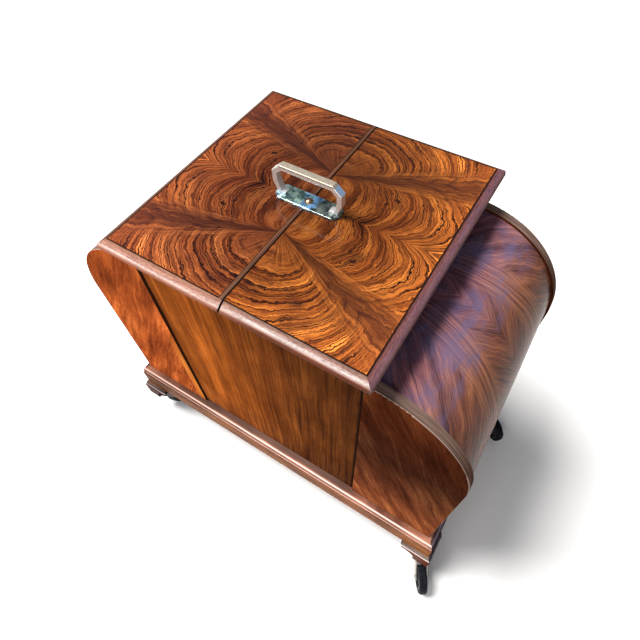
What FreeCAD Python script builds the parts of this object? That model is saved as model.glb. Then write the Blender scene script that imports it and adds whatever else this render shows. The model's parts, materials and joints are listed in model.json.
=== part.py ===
import FreeCAD, Part
import os
from collections import namedtuple
from math import atan2, cos, hypot, pi, sin, sqrt
from types import SimpleNamespace

import Sketcher

# A walnut cellarette on castors: a centre box under a lid of two leaves, with a quarter-round wing
# on each side. The handle stands on a post of the caddy inside the centre box. Pulling it lifts the
# caddy and opens both leaves. The wings are doors that swing out on hinges at the back.
# Millimetres, +Z up, front towards -Y, origin on the floor below the middle of the body.

SIZES = [
    # centre box
    ("centre_half_x", 218, "half the width of the centre box"),
    ("body_half_y", 216, "half the depth of the body"),
    ("panel", 16, "thickness of the centre box's panels"),
    ("panel_recess", 5, "how far the front panel stands behind the wings' faces"),
    # lid
    ("lid_top", 851, "height of the lid's top face above the floor"),
    ("lid_thick", 30, "thickness of the lid"),
    ("lid_forward", 4.5, "how far the lid's middle stands in front of the body's middle"),
    ("lid_over_x", 28, "overhang of the lid past the centre box's sides"),
    ("lid_over_y", 27.5, "half of what the lid is deeper than the body"),
    ("moulding", 16, "width of the bowed moulding round the field"),
    ("moulding_drop", 11, "depth of the moulding's nose below the lid's top"),
    ("moulding_bow", 40, "radius of the moulding's bowed top"),
    ("moulding_lap", 1, "how far the bow would run in over the field"),
    ("moulding_nose", 4, "rounding of the moulding's nose"),
    ("moulding_foot", 5, "width of the moulding at its underside"),
    ("lid_corner", 14, "radius of the lid's corners seen from above"),
    ("leaf_gap", 2, "slot between the two leaves"),
    ("seam_bead", 8, "width of the lipping along the left leaf's meeting edge"),
    ("lid_rest_gap", 0.5, "clearance under the closed lid"),
    ("lid_hinge_in", 50, "distance of the lid's hinges from the side panels' ends"),
    # wings
    ("wing_gap", 3, "slot between the centre box and a wing"),
    ("wing_lift", 2, "clearance between a wing and the plinth"),
    ("wing_radius", 197, "radius of a wing's quarter-round top"),
    ("wing_top", 786, "height of a wing's top above the floor"),
    ("wing_board", 18, "thickness of a wing's front and back boards"),
    ("rim_round", 2, "rounding of a wing board's outer edge"),
    ("curve_recess", 5, "depth of the curved panel below the boards' rims"),
    ("curve_panel", 10, "thickness of the curved panel"),
    ("wing_floor", 12, "thickness of a wing's floor"),
    ("wing_shelf", 10, "thickness of a wing's shelf"),
    ("wing_shelf_up", 231, "height of a wing's shelf above the wing's floor"),
    ("wing_shelf_set", 6, "setback of a wing's shelf from its open side"),
    ("wing_rail_in", 12, "distance of a wing's rails from its open side"),
    ("wing_rail_up", 80, "height of a wing's rails above what they guard"),
    ("wing_hinge_in", 105, "distance of a wing's hinges from its bottom and top"),
    # plinth and feet
    ("plinth_top", 225, "height of the plinth's top face above the floor"),
    ("plinth_reach", 16, "how far the plinth stands out past the wings and panels"),
    ("nosing", 16, "thickness of the plinth's rounded nosing"),
    ("nosing_round", 10, "rounding of the nosing's upper edges"),
    ("nosing_quirk", 4, "rounding of the nosing's lower edges"),
    ("bead", 8, "thickness of the bead under the nosing"),
    ("bead_out", 2, "how far the bead stands out past the nosing"),
    ("bead_round", 1.8, "rounding of the bead's upper edges"),
    ("rail_high", 54, "height of the plinth's rails"),
    ("rail_thick", 18, "thickness of the plinth's rails"),
    ("rail_out", 4, "how far the rails stand out past the nosing"),
    ("foot_reach", 11, "how far a foot stands out past the nosing"),
    ("foot_side", 73, "width of a foot's top slab"),
    ("foot_slab", 8, "thickness of a foot's top slab"),
    ("foot_slab_round", 3, "rounding of the top slab's upper edges"),
    ("foot_step", 2, "how far each step of a foot stands out past the one above"),
    ("foot_band", 6, "thickness of the band under a foot's slab"),
    ("foot_band_round", 1.5, "rounding of the band's outer edges"),
    ("bracket_high", 49, "height of a foot's bracket"),
    ("bracket_cove", 36, "radius of the cove in a bracket's inner sides"),
    # castors
    ("wheel_radius", 40, "radius of a castor's tyre"),
    ("tread", 20, "width of a castor's tyre"),
    ("tread_round", 6, "rounding of the tyre's shoulders"),
    ("tyre_thick", 10, "thickness of the tyre on its hub"),
    ("hub_dish", 4, "depth of the dish in each side of the hub"),
    ("hub_boss", 10, "radius of the hub's boss"),
    ("hub_rim", 5, "width of the hub's rim"),
    ("castor_set", 18, "distance of a castor's stem from the foot slab's outer faces"),
    ("trail", 46, "distance of a castor's axle behind its stem"),
    ("cheek", 3, "thickness of a fork's cheeks"),
    ("cheek_gap", 1.5, "clearance between a wheel and a cheek"),
    ("cheek_end", 10, "radius of a cheek's end round the axle"),
    ("crown", 4, "thickness of a fork's crown"),
    ("crown_back", 15, "reach of the crown in front of the stem"),
    ("crown_front", 24, "reach of the crown behind the stem"),
    ("axle_radius", 4, "radius of a castor's axle"),
    ("axle_head", 2, "reach of the axle past the cheeks"),
    ("stem_radius", 5, "radius of a castor's stem"),
    ("stem_long", 30, "length of the stem above the crown"),
    ("castor_gap", 0.3, "clearance between a fork's crown and its socket"),
    ("socket_wall", 2, "wall of a castor's socket"),
    ("socket_flange", 3, "thickness of a socket's flange"),
    ("socket_flange_radius", 15, "radius of a socket's flange"),
    ("socket_over", 3, "depth of a socket past the stem's end"),
    # hinges
    ("knuckle_radius", 4, "radius of a hinge's knuckles"),
    ("hinge_pin", 2, "radius of a hinge's pin"),
    ("hinge_leaf", 1.5, "thickness of a hinge's leaves"),
    ("hinge_wide", 14, "width of a hinge's leaves"),
    ("hinge_half", 30, "half the length of a hinge"),
    ("knuckle_half", 10, "half the length of a hinge's middle knuckle"),
    ("hinge_gap", 0.5, "clearance round a hinge's knuckles"),
    # caddy
    ("caddy_side_gap", 6, "clearance between the caddy and the side panels"),
    ("caddy_end_gap", 4, "clearance between the caddy and the front and back panels"),
    ("caddy_seat_gap", 0.3, "clearance under the caddy when it is down"),
    ("tray", 12, "thickness of the caddy's tray"),
    ("gable", 12, "thickness of the caddy's gables"),
    ("gable_side", 380, "height of a gable's straight sides"),
    ("ridge_half", 14, "half the width of a gable's top"),
    ("ridge_under", 7, "clearance between the ridge and the closed lid"),
    ("ridge_rail", 36, "height of the rail that joins the gables"),
    ("ridge_rail_half", 10, "half the thickness of that rail"),
    ("guide_half", 10, "half the width of the caddy's guides"),
    ("guide_depth", 6, "depth of the guide grooves in the gables"),
    ("guide_gap", 0.3, "clearance round a guide"),
    ("guide_under", 21, "distance of the guides' tops below the lid"),
    ("glass_shelf_half", 88, "half the width of the caddy's shelf"),
    ("glass_shelf", 10, "thickness of the caddy's shelf"),
    ("glass_shelf_up", 242.7, "height of the caddy's shelf above its tray"),
    ("rod_radius", 4, "radius of the brass rails"),
    ("caddy_rail_up", 90, "height of the caddy's outer rails above the tray"),
    ("gallery_up", 22, "height of the gallery rails above the shelf"),
    ("rail_edge", 6, "distance of the caddy's rails from the edge they guard"),
    # handle
    ("handle_forward", 7, "how far the handle stands in front of the body's middle"),
    ("post_radius", 5, "radius of the post under the handle"),
    ("post_gap", 1.5, "clearance between the post and the leaves"),
    ("post_deep", 24, "depth of the post in the ridge rail"),
    ("plate_half_x", 60, "half the length of the handle's plate"),
    ("plate_half_y", 17, "half the width of the handle's plate"),
    ("plate_clip", 9, "cut of the plate's corners"),
    ("plate_thick", 4, "thickness of the handle's plate"),
    ("plate_edge", 1, "rounding of the plate's top edge"),
    ("plate_gap", 0.5, "clearance between the plate and the lid"),
    ("grip_half", 64, "half the width of the grip over its arms"),
    ("grip_high", 55, "height of the grip above the plate"),
    ("grip_bar", 9, "thickness of the grip's bar"),
    ("grip_wide", 13, "width of the grip's bar from front to back"),
    ("shoulder_x", 16, "width of the grip's chamfered shoulders"),
    ("shoulder_z", 14, "height of the grip's chamfered shoulders"),
    ("shoulder_in", 3.5, "setback of the shoulders' inner corners"),
    ("arm_low", 20, "height at which the grip's arms turn in"),
    ("grip_foot_out", 57, "outer end of a grip's foot from the middle"),
    ("grip_foot_in", 41, "inner end of a grip's foot from the middle"),
    ("grip_foot", 4, "thickness of a grip's foot"),
    ("grip_edge", 1.2, "rounding of the grip's long edges"),
    ("screw_head", 7.5, "radius of the handle screw's domed head"),
    ("screw_dome", 4, "height of the screw's domed head"),
    ("screw_shank", 2.5, "radius of the screw's shank"),
    ("screw_long", 14, "length of the screw's shank"),
    # fits
    ("running", 0.05, "radial clearance of a shaft that turns in a hole"),
]

WING_SIDES = {"left": -1, "right": 1}
CORNERS = {
    # corner: (side in x, side in y, turn of the foot, direction in which the castor trails)
    "front_left": (-1, -1, 180, 40),
    "front_right": (1, -1, 270, -58),
    "back_left": (-1, 1, 90, 130),
    "back_right": (1, 1, 0, -39),
}

FLAT = 0.01  # tolerance for telling a level edge

Arc = namedtuple("Arc", "end centre radius turn")


class Size:
    """A number that knows the spreadsheet expression it comes from."""

    def __init__(self, value, text):
        self.value = value
        self.text = text

    def joined(self, sign, other, value):
        return Size(value, f"({self.text} {sign} {other.text})")

    def __add__(self, other):
        other = size_of(other)
        return self.joined("+", other, self.value + other.value)

    def __sub__(self, other):
        other = size_of(other)
        return self.joined("-", other, self.value - other.value)

    def __mul__(self, other):
        other = size_of(other)
        return self.joined("*", other, self.value * other.value)

    def __truediv__(self, other):
        other = size_of(other)
        return self.joined("/", other, self.value / other.value)

    def __radd__(self, other):
        return size_of(other) + self

    def __rsub__(self, other):
        return size_of(other) - self

    def __rmul__(self, other):
        return size_of(other) * self

    def __neg__(self):
        return Size(-self.value, f"(-1 * {self.text})")


def size_of(number):
    return number if isinstance(number, Size) else Size(number, f"({number})")


doc = FreeCAD.newDocument("cellarette")
sheet = doc.addObject("Spreadsheet::Sheet", "Sizes")
for row, (alias, value, meaning) in enumerate(SIZES, 1):
    sheet.set(f"A{row}", meaning)
    sheet.set(f"B{row}", str(value))
    sheet.setAlias(f"B{row}", alias)
doc.recompute()
dim = SimpleNamespace(**{alias: Size(value, f"Sizes.{alias}") for alias, value, _ in SIZES})
nodes = {}


def bind(obj, prop, number):
    obj.setExpression(prop, size_of(number).text)


def put(obj, x=0, y=0, z=0, rotation=None):
    """Place an object at bound coordinates, turned by a fixed rotation."""
    if rotation is not None:
        obj.Placement = FreeCAD.Placement(FreeCAD.Vector(), rotation)
    for axis, number in zip("xyz", (x, y, z)):
        bind(obj, f"Placement.Base.{axis}", number)
    return obj


def about_z(degrees):
    return FreeCAD.Rotation(FreeCAD.Vector(0, 0, 1), degrees)


def axes(x, y, z):
    """The rotation that sends the local axes to these directions."""
    return FreeCAD.Rotation(FreeCAD.Vector(*x), FreeCAD.Vector(*y), FreeCAD.Vector(*z), "XYZ")


def node(label, obj):
    """Give a finished piece its name and list it for writing."""
    obj.Label = label
    nodes[label] = obj
    return obj


def span(side, near, far):
    """The stretch from near to far on one side of the middle, low end first."""
    return (near, far) if side > 0 else (-far, -near)


def box(x, y, z):
    """A box between bound limits along each axis."""
    obj = doc.addObject("Part::Box", "box")
    for prop, (low, high) in zip(("Length", "Width", "Height"), (x, y, z)):
        bind(obj, prop, size_of(high) - low)
    return put(obj, x[0], y[0], z[0])


def rod(radius, low, high, x=0, y=0, along="z"):
    """A round bar from low to high along z, or along y at height y."""
    obj = doc.addObject("Part::Cylinder", "rod")
    bind(obj, "Radius", radius)
    bind(obj, "Height", size_of(high) - low)
    if along == "z":
        return put(obj, x, y, low)
    return put(obj, x, low, y, axes((1, 0, 0), (0, 0, -1), (0, 1, 0)))


def fused(shapes):
    obj = doc.addObject("Part::MultiFuse", "fused")
    obj.Shapes = shapes
    return obj


def cut(base, tool):
    obj = doc.addObject("Part::Cut", "cut")
    obj.Base = base
    obj.Tool = tool
    return obj


def common(shapes):
    obj = doc.addObject("Part::MultiCommon", "common")
    obj.Shapes = shapes
    return obj


def group(label, shapes):
    """A node of several separate solids."""
    obj = doc.addObject("Part::Compound", label)
    obj.Links = shapes
    return node(label, obj)


def new_body(label):
    return doc.addObject("PartDesign::Body", label)


def sketch_on(body, plane, lift=0):
    sketch = body.newObject("Sketcher::SketchObject", "sketch")
    support = next(f for f in body.Origin.OriginFeatures if f.Role == plane)
    sketch.AttachmentSupport = (support, [""])
    sketch.MapMode = "FlatFace"
    bind(sketch, "AttachmentOffset.Base.z", lift)
    return sketch


def vector(point):
    return FreeCAD.Vector(size_of(point[0]).value, size_of(point[1]).value, 0)


def arc_edge(start, arc):
    """The arc of a circle from start to the arc's end, on the side that its turn gives."""
    centre = vector(arc.centre)
    first = start - centre
    last = vector(arc.end) - centre
    begin = atan2(first.y, first.x)
    sweep = (arc.turn * (atan2(last.y, last.x) - begin)) % (2 * pi)
    middle = begin + arc.turn * sweep / 2
    reach = hypot(first.x, first.y)
    halfway = centre + FreeCAD.Vector(reach * cos(middle), reach * sin(middle), 0)
    return Part.Arc(start, halfway, vector(arc.end))


def bowed(start, end, radius, turn):
    """The arc of a given radius from start to end, with its centre found from the chord."""
    first = vector(start)
    half = (vector(end) - first) * 0.5
    height = sqrt(radius.value**2 - half.Length**2)
    left = FreeCAD.Vector(-half.y, half.x, 0).normalize()
    centre = first + half + left * (turn * height)
    return Arc(end, (centre.x, centre.y), radius, turn)


def pin_point(sketch, place, point):
    """Hold a sketch point at bound coordinates."""
    for kind, number, axis in (("DistanceX", point[0], -2), ("DistanceY", point[1], -1)):
        number = size_of(number)
        if number.value == 0:
            sketch.addConstraint(Sketcher.Constraint("PointOnObject", *place, axis))
        else:
            index = sketch.addConstraint(Sketcher.Constraint(kind, *place, number.value))
            bind(sketch, f"Constraints[{index}]", number)


def outline(sketch, path):
    """Draw a closed outline: each item is the end of a line, or an Arc."""
    ends = [item.end if isinstance(item, Arc) else item for item in path]
    first = sketch.GeometryCount
    joints = []
    for start, item, end in zip(ends[-1:] + ends[:-1], path, ends):
        if isinstance(item, Arc):
            edge = arc_edge(vector(start), item)
        else:
            edge = Part.LineSegment(vector(start), vector(end))
        index = sketch.addGeometry(edge, False)
        turned = sketch.getPoint(index, 1).distanceToPoint(vector(start)) > 1e-6
        joints.append(((index, 2), (index, 1)) if turned else ((index, 1), (index, 2)))
    for here, after in zip(joints, joints[1:] + joints[:1]):
        sketch.addConstraint(Sketcher.Constraint("Coincident", *here[1], *after[0]))
    for (_, tail), end in zip(joints, ends):
        pin_point(sketch, tail, end)
    for index, item in enumerate(path, first):
        if isinstance(item, Arc):
            held = sketch.addConstraint(Sketcher.Constraint("Radius", index, size_of(item.radius).value))
            bind(sketch, f"Constraints[{held}]", item.radius)


def circle(sketch, centre, radius):
    edge = Part.Circle(vector(centre), FreeCAD.Vector(0, 0, 1), size_of(radius).value)
    index = sketch.addGeometry(edge, False)
    pin_point(sketch, (index, 3), centre)
    held = sketch.addConstraint(Sketcher.Constraint("Radius", index, size_of(radius).value))
    bind(sketch, f"Constraints[{held}]", radius)


def extrude(body, kind, sketch, length):
    """Pad or Pocket a sketch by a bound length, towards +X, +Y or +Z."""
    feature = body.newObject(f"PartDesign::{kind}", kind.lower())
    feature.Profile = sketch
    bind(feature, "Length", length)
    runs_back = sketch.AttachmentSupport[0][0].Role == "XZ_Plane"
    feature.Reversed = runs_back != (kind == "Pocket")
    body.Tip = feature
    return feature


def pad(body, plane, path, length, lift=0):
    sketch = sketch_on(body, plane, lift)
    outline(sketch, path)
    return extrude(body, "Pad", sketch, length)


def rounded(body, radius, chosen):
    """Round the edges of a body's tip that chosen picks by their middle and box."""
    doc.recompute()
    tip = body.Tip
    names = []
    for index, edge in enumerate(tip.Shape.Edges, 1):
        middle = edge.valueAt((edge.FirstParameter + edge.LastParameter) / 2)
        if chosen(middle, edge.BoundBox):
            names.append(f"Edge{index}")
    fillet = body.newObject("PartDesign::Fillet", "fillet")
    fillet.Base = (tip, names)
    bind(fillet, "Radius", radius)
    body.Tip = fillet
    return fillet


def rectangle(x, y):
    return [(x[0], y[0]), (x[1], y[0]), (x[1], y[1]), (x[0], y[1])]


# Heights and places that several pieces share.
lid_under = dim.lid_top - dim.lid_thick
lid_middle = -dim.lid_forward
handle_y = -dim.handle_forward
field_half_x = dim.centre_half_x + dim.lid_over_x - dim.moulding
field_half_y = dim.body_half_y + dim.lid_over_y - dim.moulding
wing_in = dim.centre_half_x + dim.wing_gap
wing_out = wing_in + dim.wing_radius
wing_bottom = dim.plinth_top + dim.wing_lift
wing_turn = dim.wing_top - dim.wing_radius
curve_out = dim.wing_radius - dim.curve_recess
curve_in = curve_out - dim.curve_panel
wing_floor_top = wing_bottom + dim.wing_floor
wing_shelf_low = wing_floor_top + dim.wing_shelf_up
wing_inner_y = dim.body_half_y - dim.wing_board
plinth_x = wing_out + dim.plinth_reach
plinth_y = dim.body_half_y + dim.plinth_reach
rail_top = dim.plinth_top - dim.nosing - dim.bead
rail_bottom = rail_top - dim.rail_high
foot_x = plinth_x + dim.foot_reach
foot_y = plinth_y + dim.foot_reach
foot_bottom = rail_bottom - dim.foot_slab - dim.foot_band - dim.bracket_high
well_half_x = dim.centre_half_x - dim.panel
well_half_y = dim.body_half_y - dim.panel
knuckle_out = dim.knuckle_radius + dim.hinge_gap
lid_axis_x = dim.centre_half_x + knuckle_out
lid_axis_z = lid_under - knuckle_out
wing_axis_x = dim.centre_half_x + dim.wing_gap / 2
wing_axis_y = dim.body_half_y + knuckle_out
caddy_half_x = well_half_x - dim.caddy_side_gap
caddy_half_y = well_half_y - dim.caddy_end_gap
gable_in = caddy_half_y - dim.gable
caddy_bottom = dim.plinth_top + dim.caddy_seat_gap
tray_top = caddy_bottom + dim.tray
ridge_top = lid_under - dim.ridge_under
plate_bottom = dim.lid_top + dim.plate_gap
plate_top = plate_bottom + dim.plate_thick


def make_plinth():
    """Top board with a rounded nosing and a bead under it, on four mitred rails."""
    body = new_body("plinth_top_board")
    nosing_bottom = rail_top + dim.bead
    edge = rectangle((-plinth_x, plinth_x), (-plinth_y, plinth_y))
    pad(body, "XY_Plane", edge, dim.nosing, nosing_bottom)
    rounded(body, dim.nosing_round, lambda middle, edges: edges.ZMin > dim.plinth_top.value - FLAT)
    rounded(body, dim.nosing_quirk, lambda middle, edges: edges.ZMax < nosing_bottom.value + FLAT)
    bead_x = plinth_x + dim.bead_out
    bead_y = plinth_y + dim.bead_out
    pad(body, "XY_Plane", rectangle((-bead_x, bead_x), (-bead_y, bead_y)), dim.bead, rail_top)
    rounded(
        body,
        dim.bead_round,
        lambda middle, edges: edges.ZLength < FLAT
        and abs(middle.z - nosing_bottom.value) < FLAT
        and (abs(middle.x) > plinth_x.value + FLAT or abs(middle.y) > plinth_y.value + FLAT),
    )
    node("plinth_top_board", body)

    x_out = plinth_x + dim.rail_out
    y_out = plinth_y + dim.rail_out
    x_in = x_out - dim.rail_thick
    y_in = y_out - dim.rail_thick
    rails = []
    for side in (-1, 1):
        ends = [(-x_out, side * y_out), (x_out, side * y_out), (x_in, side * y_in), (-x_in, side * y_in)]
        sides = [(side * x_out, -y_out), (side * x_out, y_out), (side * x_in, y_in), (side * x_in, -y_in)]
        for corners in (ends, sides):
            rail = new_body("plinth_rail")
            pad(rail, "XY_Plane", corners, dim.rail_high, rail_bottom)
            rails.append(rail)
    group("plinth_rails", rails)


def bracket(plane):
    """One elevation of a foot's bracket: straight outside, coved inside, as wide as the foot."""
    body = new_body("bracket")
    out = 2 * dim.foot_step
    top_in = -dim.foot_side + 2 * dim.foot_step
    low_in = top_in + dim.bracket_cove
    turn_z = dim.bracket_high - dim.bracket_cove
    cove = Arc((low_in, turn_z), (top_in, turn_z), dim.bracket_cove, -1)
    path = [(top_in, dim.bracket_high), cove, (low_in, 0), (out, 0), (out, dim.bracket_high)]
    pad(body, plane, path, dim.foot_side + out)
    return body


def make_foot(corner, side_x, side_y, turn):
    """Bracket foot: a rounded slab, a band and a bracket coved on both inner sides, each further out."""
    band_bottom = dim.bracket_high
    slab_bottom = band_bottom + dim.foot_band
    slab_body = new_body("foot_slab")
    pad(
        slab_body,
        "XY_Plane",
        rectangle((-dim.foot_side, 0), (-dim.foot_side, 0)),
        dim.foot_slab,
        slab_bottom,
    )
    slab_top = slab_bottom + dim.foot_slab
    rounded(slab_body, dim.foot_slab_round, lambda middle, edges: edges.ZMin > slab_top.value - FLAT)
    band_span = (-dim.foot_side + dim.foot_step, dim.foot_step)
    band = new_body("foot_band")
    pad(band, "XY_Plane", rectangle(band_span, band_span), dim.foot_band, band_bottom)
    rounded(
        band,
        dim.foot_band_round,
        lambda middle, edges: edges.ZMin > slab_bottom.value - FLAT
        and max(middle.x, middle.y) > dim.foot_step.value - FLAT,
    )
    across = bracket("XZ_Plane")
    put(across, 0, -dim.foot_side, 0)
    along = bracket("YZ_Plane")
    put(along, -dim.foot_side, 0, 0)
    socket_hole = rod(
        dim.stem_radius + dim.running + dim.socket_wall,
        0,
        dim.stem_long + dim.socket_over - dim.socket_flange,
        -dim.castor_set,
        -dim.castor_set,
    )
    whole = fused([slab_body, band, common([across, along])])
    foot = node(f"foot_{corner}", cut(whole, socket_hole))
    put(foot, side_x * foot_x, side_y * foot_y, foot_bottom, about_z(turn))


def castor_place(side_x, side_y):
    return side_x * (foot_x - dim.castor_set), side_y * (foot_y - dim.castor_set)


def make_sockets():
    """A flanged sleeve in each foot, in which a castor's stem turns."""
    sockets = []
    sleeve = dim.stem_radius + dim.running
    flange_bottom = foot_bottom - dim.socket_flange
    top = flange_bottom + dim.stem_long + dim.socket_over
    for side_x, side_y, _, _ in CORNERS.values():
        x, y = castor_place(side_x, side_y)
        flange = rod(dim.socket_flange_radius, flange_bottom, foot_bottom, x, y)
        tube = rod(sleeve + dim.socket_wall, flange_bottom, top, x, y)
        bore = rod(sleeve, flange_bottom, top, x, y)
        sockets.append(cut(fused([flange, tube]), bore))
    group("castor_sockets", sockets)


def make_castor(corner, side_x, side_y, trails):
    """A fork with a stem and a riveted axle, a dished hub and a rubber tyre."""
    x, y = castor_place(side_x, side_y)
    turn = about_z(trails)
    crown_top = foot_bottom - dim.socket_flange - dim.castor_gap
    crown_under = crown_top - dim.crown
    inner = dim.tread / 2 + dim.cheek_gap
    outer = inner + dim.cheek

    fork = new_body("fork")
    axle = (dim.trail, dim.wheel_radius)
    end_back = (dim.trail - dim.cheek_end, dim.wheel_radius)
    end_front = (dim.trail + dim.cheek_end, dim.wheel_radius)
    cheeks = [
        (-dim.crown_back, crown_top),
        (-dim.crown_back, crown_under),
        end_back,
        Arc((dim.trail, dim.wheel_radius - dim.cheek_end), axle, dim.cheek_end, 1),
        Arc(end_front, axle, dim.cheek_end, 1),
        (dim.crown_front, crown_under),
        (dim.crown_front, crown_top),
    ]
    sketch = sketch_on(fork, "XZ_Plane", outer)
    outline(sketch, cheeks)
    extrude(fork, "Pad", sketch, 2 * outer)
    between = sketch_on(fork, "XZ_Plane", inner)
    low = dim.wheel_radius - 2 * dim.cheek_end
    outline(between, rectangle((-2 * dim.crown_back, dim.trail + 2 * dim.cheek_end), (low, crown_under)))
    extrude(fork, "Pocket", between, 2 * inner)
    stem = sketch_on(fork, "XY_Plane", crown_under)
    circle(stem, (0, 0), dim.stem_radius)
    extrude(fork, "Pad", stem, dim.crown + dim.castor_gap + dim.stem_long)
    rivet = sketch_on(fork, "XZ_Plane", outer + dim.axle_head)
    circle(rivet, axle, dim.axle_radius)
    extrude(fork, "Pad", rivet, 2 * (outer + dim.axle_head))
    put(fork, x, y, 0, turn)
    node(f"{corner}_castor_fork", fork)

    along = (cos(trails * pi / 180), sin(trails * pi / 180))
    wheel_x = x + along[0] * dim.trail
    wheel_y = y + along[1] * dim.trail
    half = dim.tread / 2
    seat = dim.wheel_radius - dim.tyre_thick
    bore = dim.axle_radius + dim.running
    web = half - dim.hub_dish
    rim_in = seat - dim.hub_rim

    hub = new_body("hub")
    half_profile = [
        (bore, half),
        (dim.hub_boss, half),
        (dim.hub_boss, web),
        (rim_in, web),
        (rim_in, half),
        (seat, half),
    ]
    mirrored = [(radius, -up) for radius, up in reversed(half_profile)]
    turn_profile(hub, half_profile + mirrored)
    put(hub, wheel_x, wheel_y, dim.wheel_radius, turn)
    node(f"{corner}_castor_hub", hub)

    tyre = new_body("tyre")
    shoulder = dim.wheel_radius - dim.tread_round
    flat = half - dim.tread_round
    turn_profile(
        tyre,
        [
            (seat, -half),
            (shoulder, -half),
            Arc((dim.wheel_radius, -flat), (shoulder, -flat), dim.tread_round, 1),
            (dim.wheel_radius, flat),
            Arc((shoulder, half), (shoulder, flat), dim.tread_round, 1),
            (seat, half),
        ],
    )
    put(tyre, wheel_x, wheel_y, dim.wheel_radius, turn)
    node(f"{corner}_castor_tyre", tyre)


def turn_profile(body, path, plane="XY_Plane"):
    """Revolve an outline round its sketch's upright axis: the body's Y axis, or Z on the XZ plane."""
    sketch = sketch_on(body, plane)
    outline(sketch, path)
    feature = body.newObject("PartDesign::Revolution", "revolution")
    feature.Profile = sketch
    feature.ReferenceAxis = (sketch, ["V_Axis"])
    feature.Angle = 360
    body.Tip = feature
    return feature


def make_centre():
    """Four panels of the centre box, and the guides on which the caddy runs."""
    full_x = (-dim.centre_half_x, dim.centre_half_x)
    top = lid_under - dim.lid_rest_gap
    side_top = lid_under - dim.hinge_leaf - dim.lid_rest_gap
    front_face = dim.panel_recess - dim.body_half_y
    node("front_panel", box(full_x, (front_face, -well_half_y), (dim.plinth_top, top)))
    node("back_panel", box(full_x, (well_half_y, dim.body_half_y), (dim.plinth_top, top)))
    for name, side in WING_SIDES.items():
        across = span(side, well_half_x, dim.centre_half_x)
        node(f"{name}_side_panel", box(across, (-well_half_y, well_half_y), (dim.plinth_top, side_top)))
    reach = dim.caddy_end_gap + dim.guide_depth - dim.guide_gap
    guides = []
    for side in (-1, 1):
        depth = span(side, well_half_y - reach, well_half_y)
        across = (-dim.guide_half, dim.guide_half)
        guides.append(box(across, depth, (dim.plinth_top, lid_under - dim.guide_under)))
    group("caddy_guides", guides)


def hinge_leaf(knuckles, rotation, x, y, z):
    """A leaf that lies knuckle_out from the pin's axis, with knuckles over the given stretches of it.

    In its own axes the pin runs along z, and the plate reaches towards +x on the -y side.
    """
    depth = (-knuckle_out, -knuckle_out + dim.hinge_leaf)
    plate = box((knuckle_out, knuckle_out + dim.hinge_wide), depth, (-dim.hinge_half, dim.hinge_half))
    parts = [plate]
    for low, high in knuckles:
        parts.append(box((0, knuckle_out + dim.hinge_leaf), depth, (low, high)))
        parts.append(rod(dim.knuckle_radius, low, high))
    bore = rod(dim.hinge_pin + dim.running, -dim.hinge_half, dim.hinge_half)
    return put(cut(fused(parts), bore), x, y, z, rotation)


def make_hinges():
    """Two butt hinges for each leaf of the lid and for each wing."""
    clear = dim.knuckle_half + dim.hinge_gap
    outer = [(-dim.hinge_half, -clear), (clear, dim.hinge_half)]
    middle = [(-dim.knuckle_half, dim.knuckle_half)]
    lid_fixed = []
    lid_pins = []
    wing_fixed = []
    wing_pins = []
    for name, side in WING_SIDES.items():
        moving = []
        on_panel = axes((0, 0, -1), (side, 0, 0), (0, -side, 0))
        under_lid = axes((-side, 0, 0), (0, 0, -1), (0, -side, 0))
        for y in (dim.lid_hinge_in - well_half_y, well_half_y - dim.lid_hinge_in):
            lid_fixed.append(hinge_leaf(outer, on_panel, side * lid_axis_x, y, lid_axis_z))
            moving.append(hinge_leaf(middle, under_lid, side * lid_axis_x, y, lid_axis_z))
            pin = (y - dim.hinge_half, y + dim.hinge_half)
            lid_pins.append(rod(dim.hinge_pin, *pin, side * lid_axis_x, lid_axis_z, "y"))
        group(f"{name}_lid_hinge_leaves", moving)
        moving = []
        on_back = axes((-side, 0, 0), (0, 1, 0), (0, 0, -side))
        on_wing = axes((side, 0, 0), (0, 1, 0), (0, 0, side))
        for z in (wing_bottom + dim.wing_hinge_in, dim.wing_top - dim.wing_hinge_in):
            wing_fixed.append(hinge_leaf(outer, on_back, side * wing_axis_x, wing_axis_y, z))
            moving.append(hinge_leaf(middle, on_wing, side * wing_axis_x, wing_axis_y, z))
            pin = (z - dim.hinge_half, z + dim.hinge_half)
            wing_pins.append(rod(dim.hinge_pin, *pin, side * wing_axis_x, wing_axis_y))
        group(f"{name}_wing_hinge_leaves", moving)
    group("lid_hinge_frame_leaves", lid_fixed)
    group("lid_hinge_pins", lid_pins)
    group("wing_hinge_frame_leaves", wing_fixed)
    group("wing_hinge_pins", wing_pins)


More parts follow.
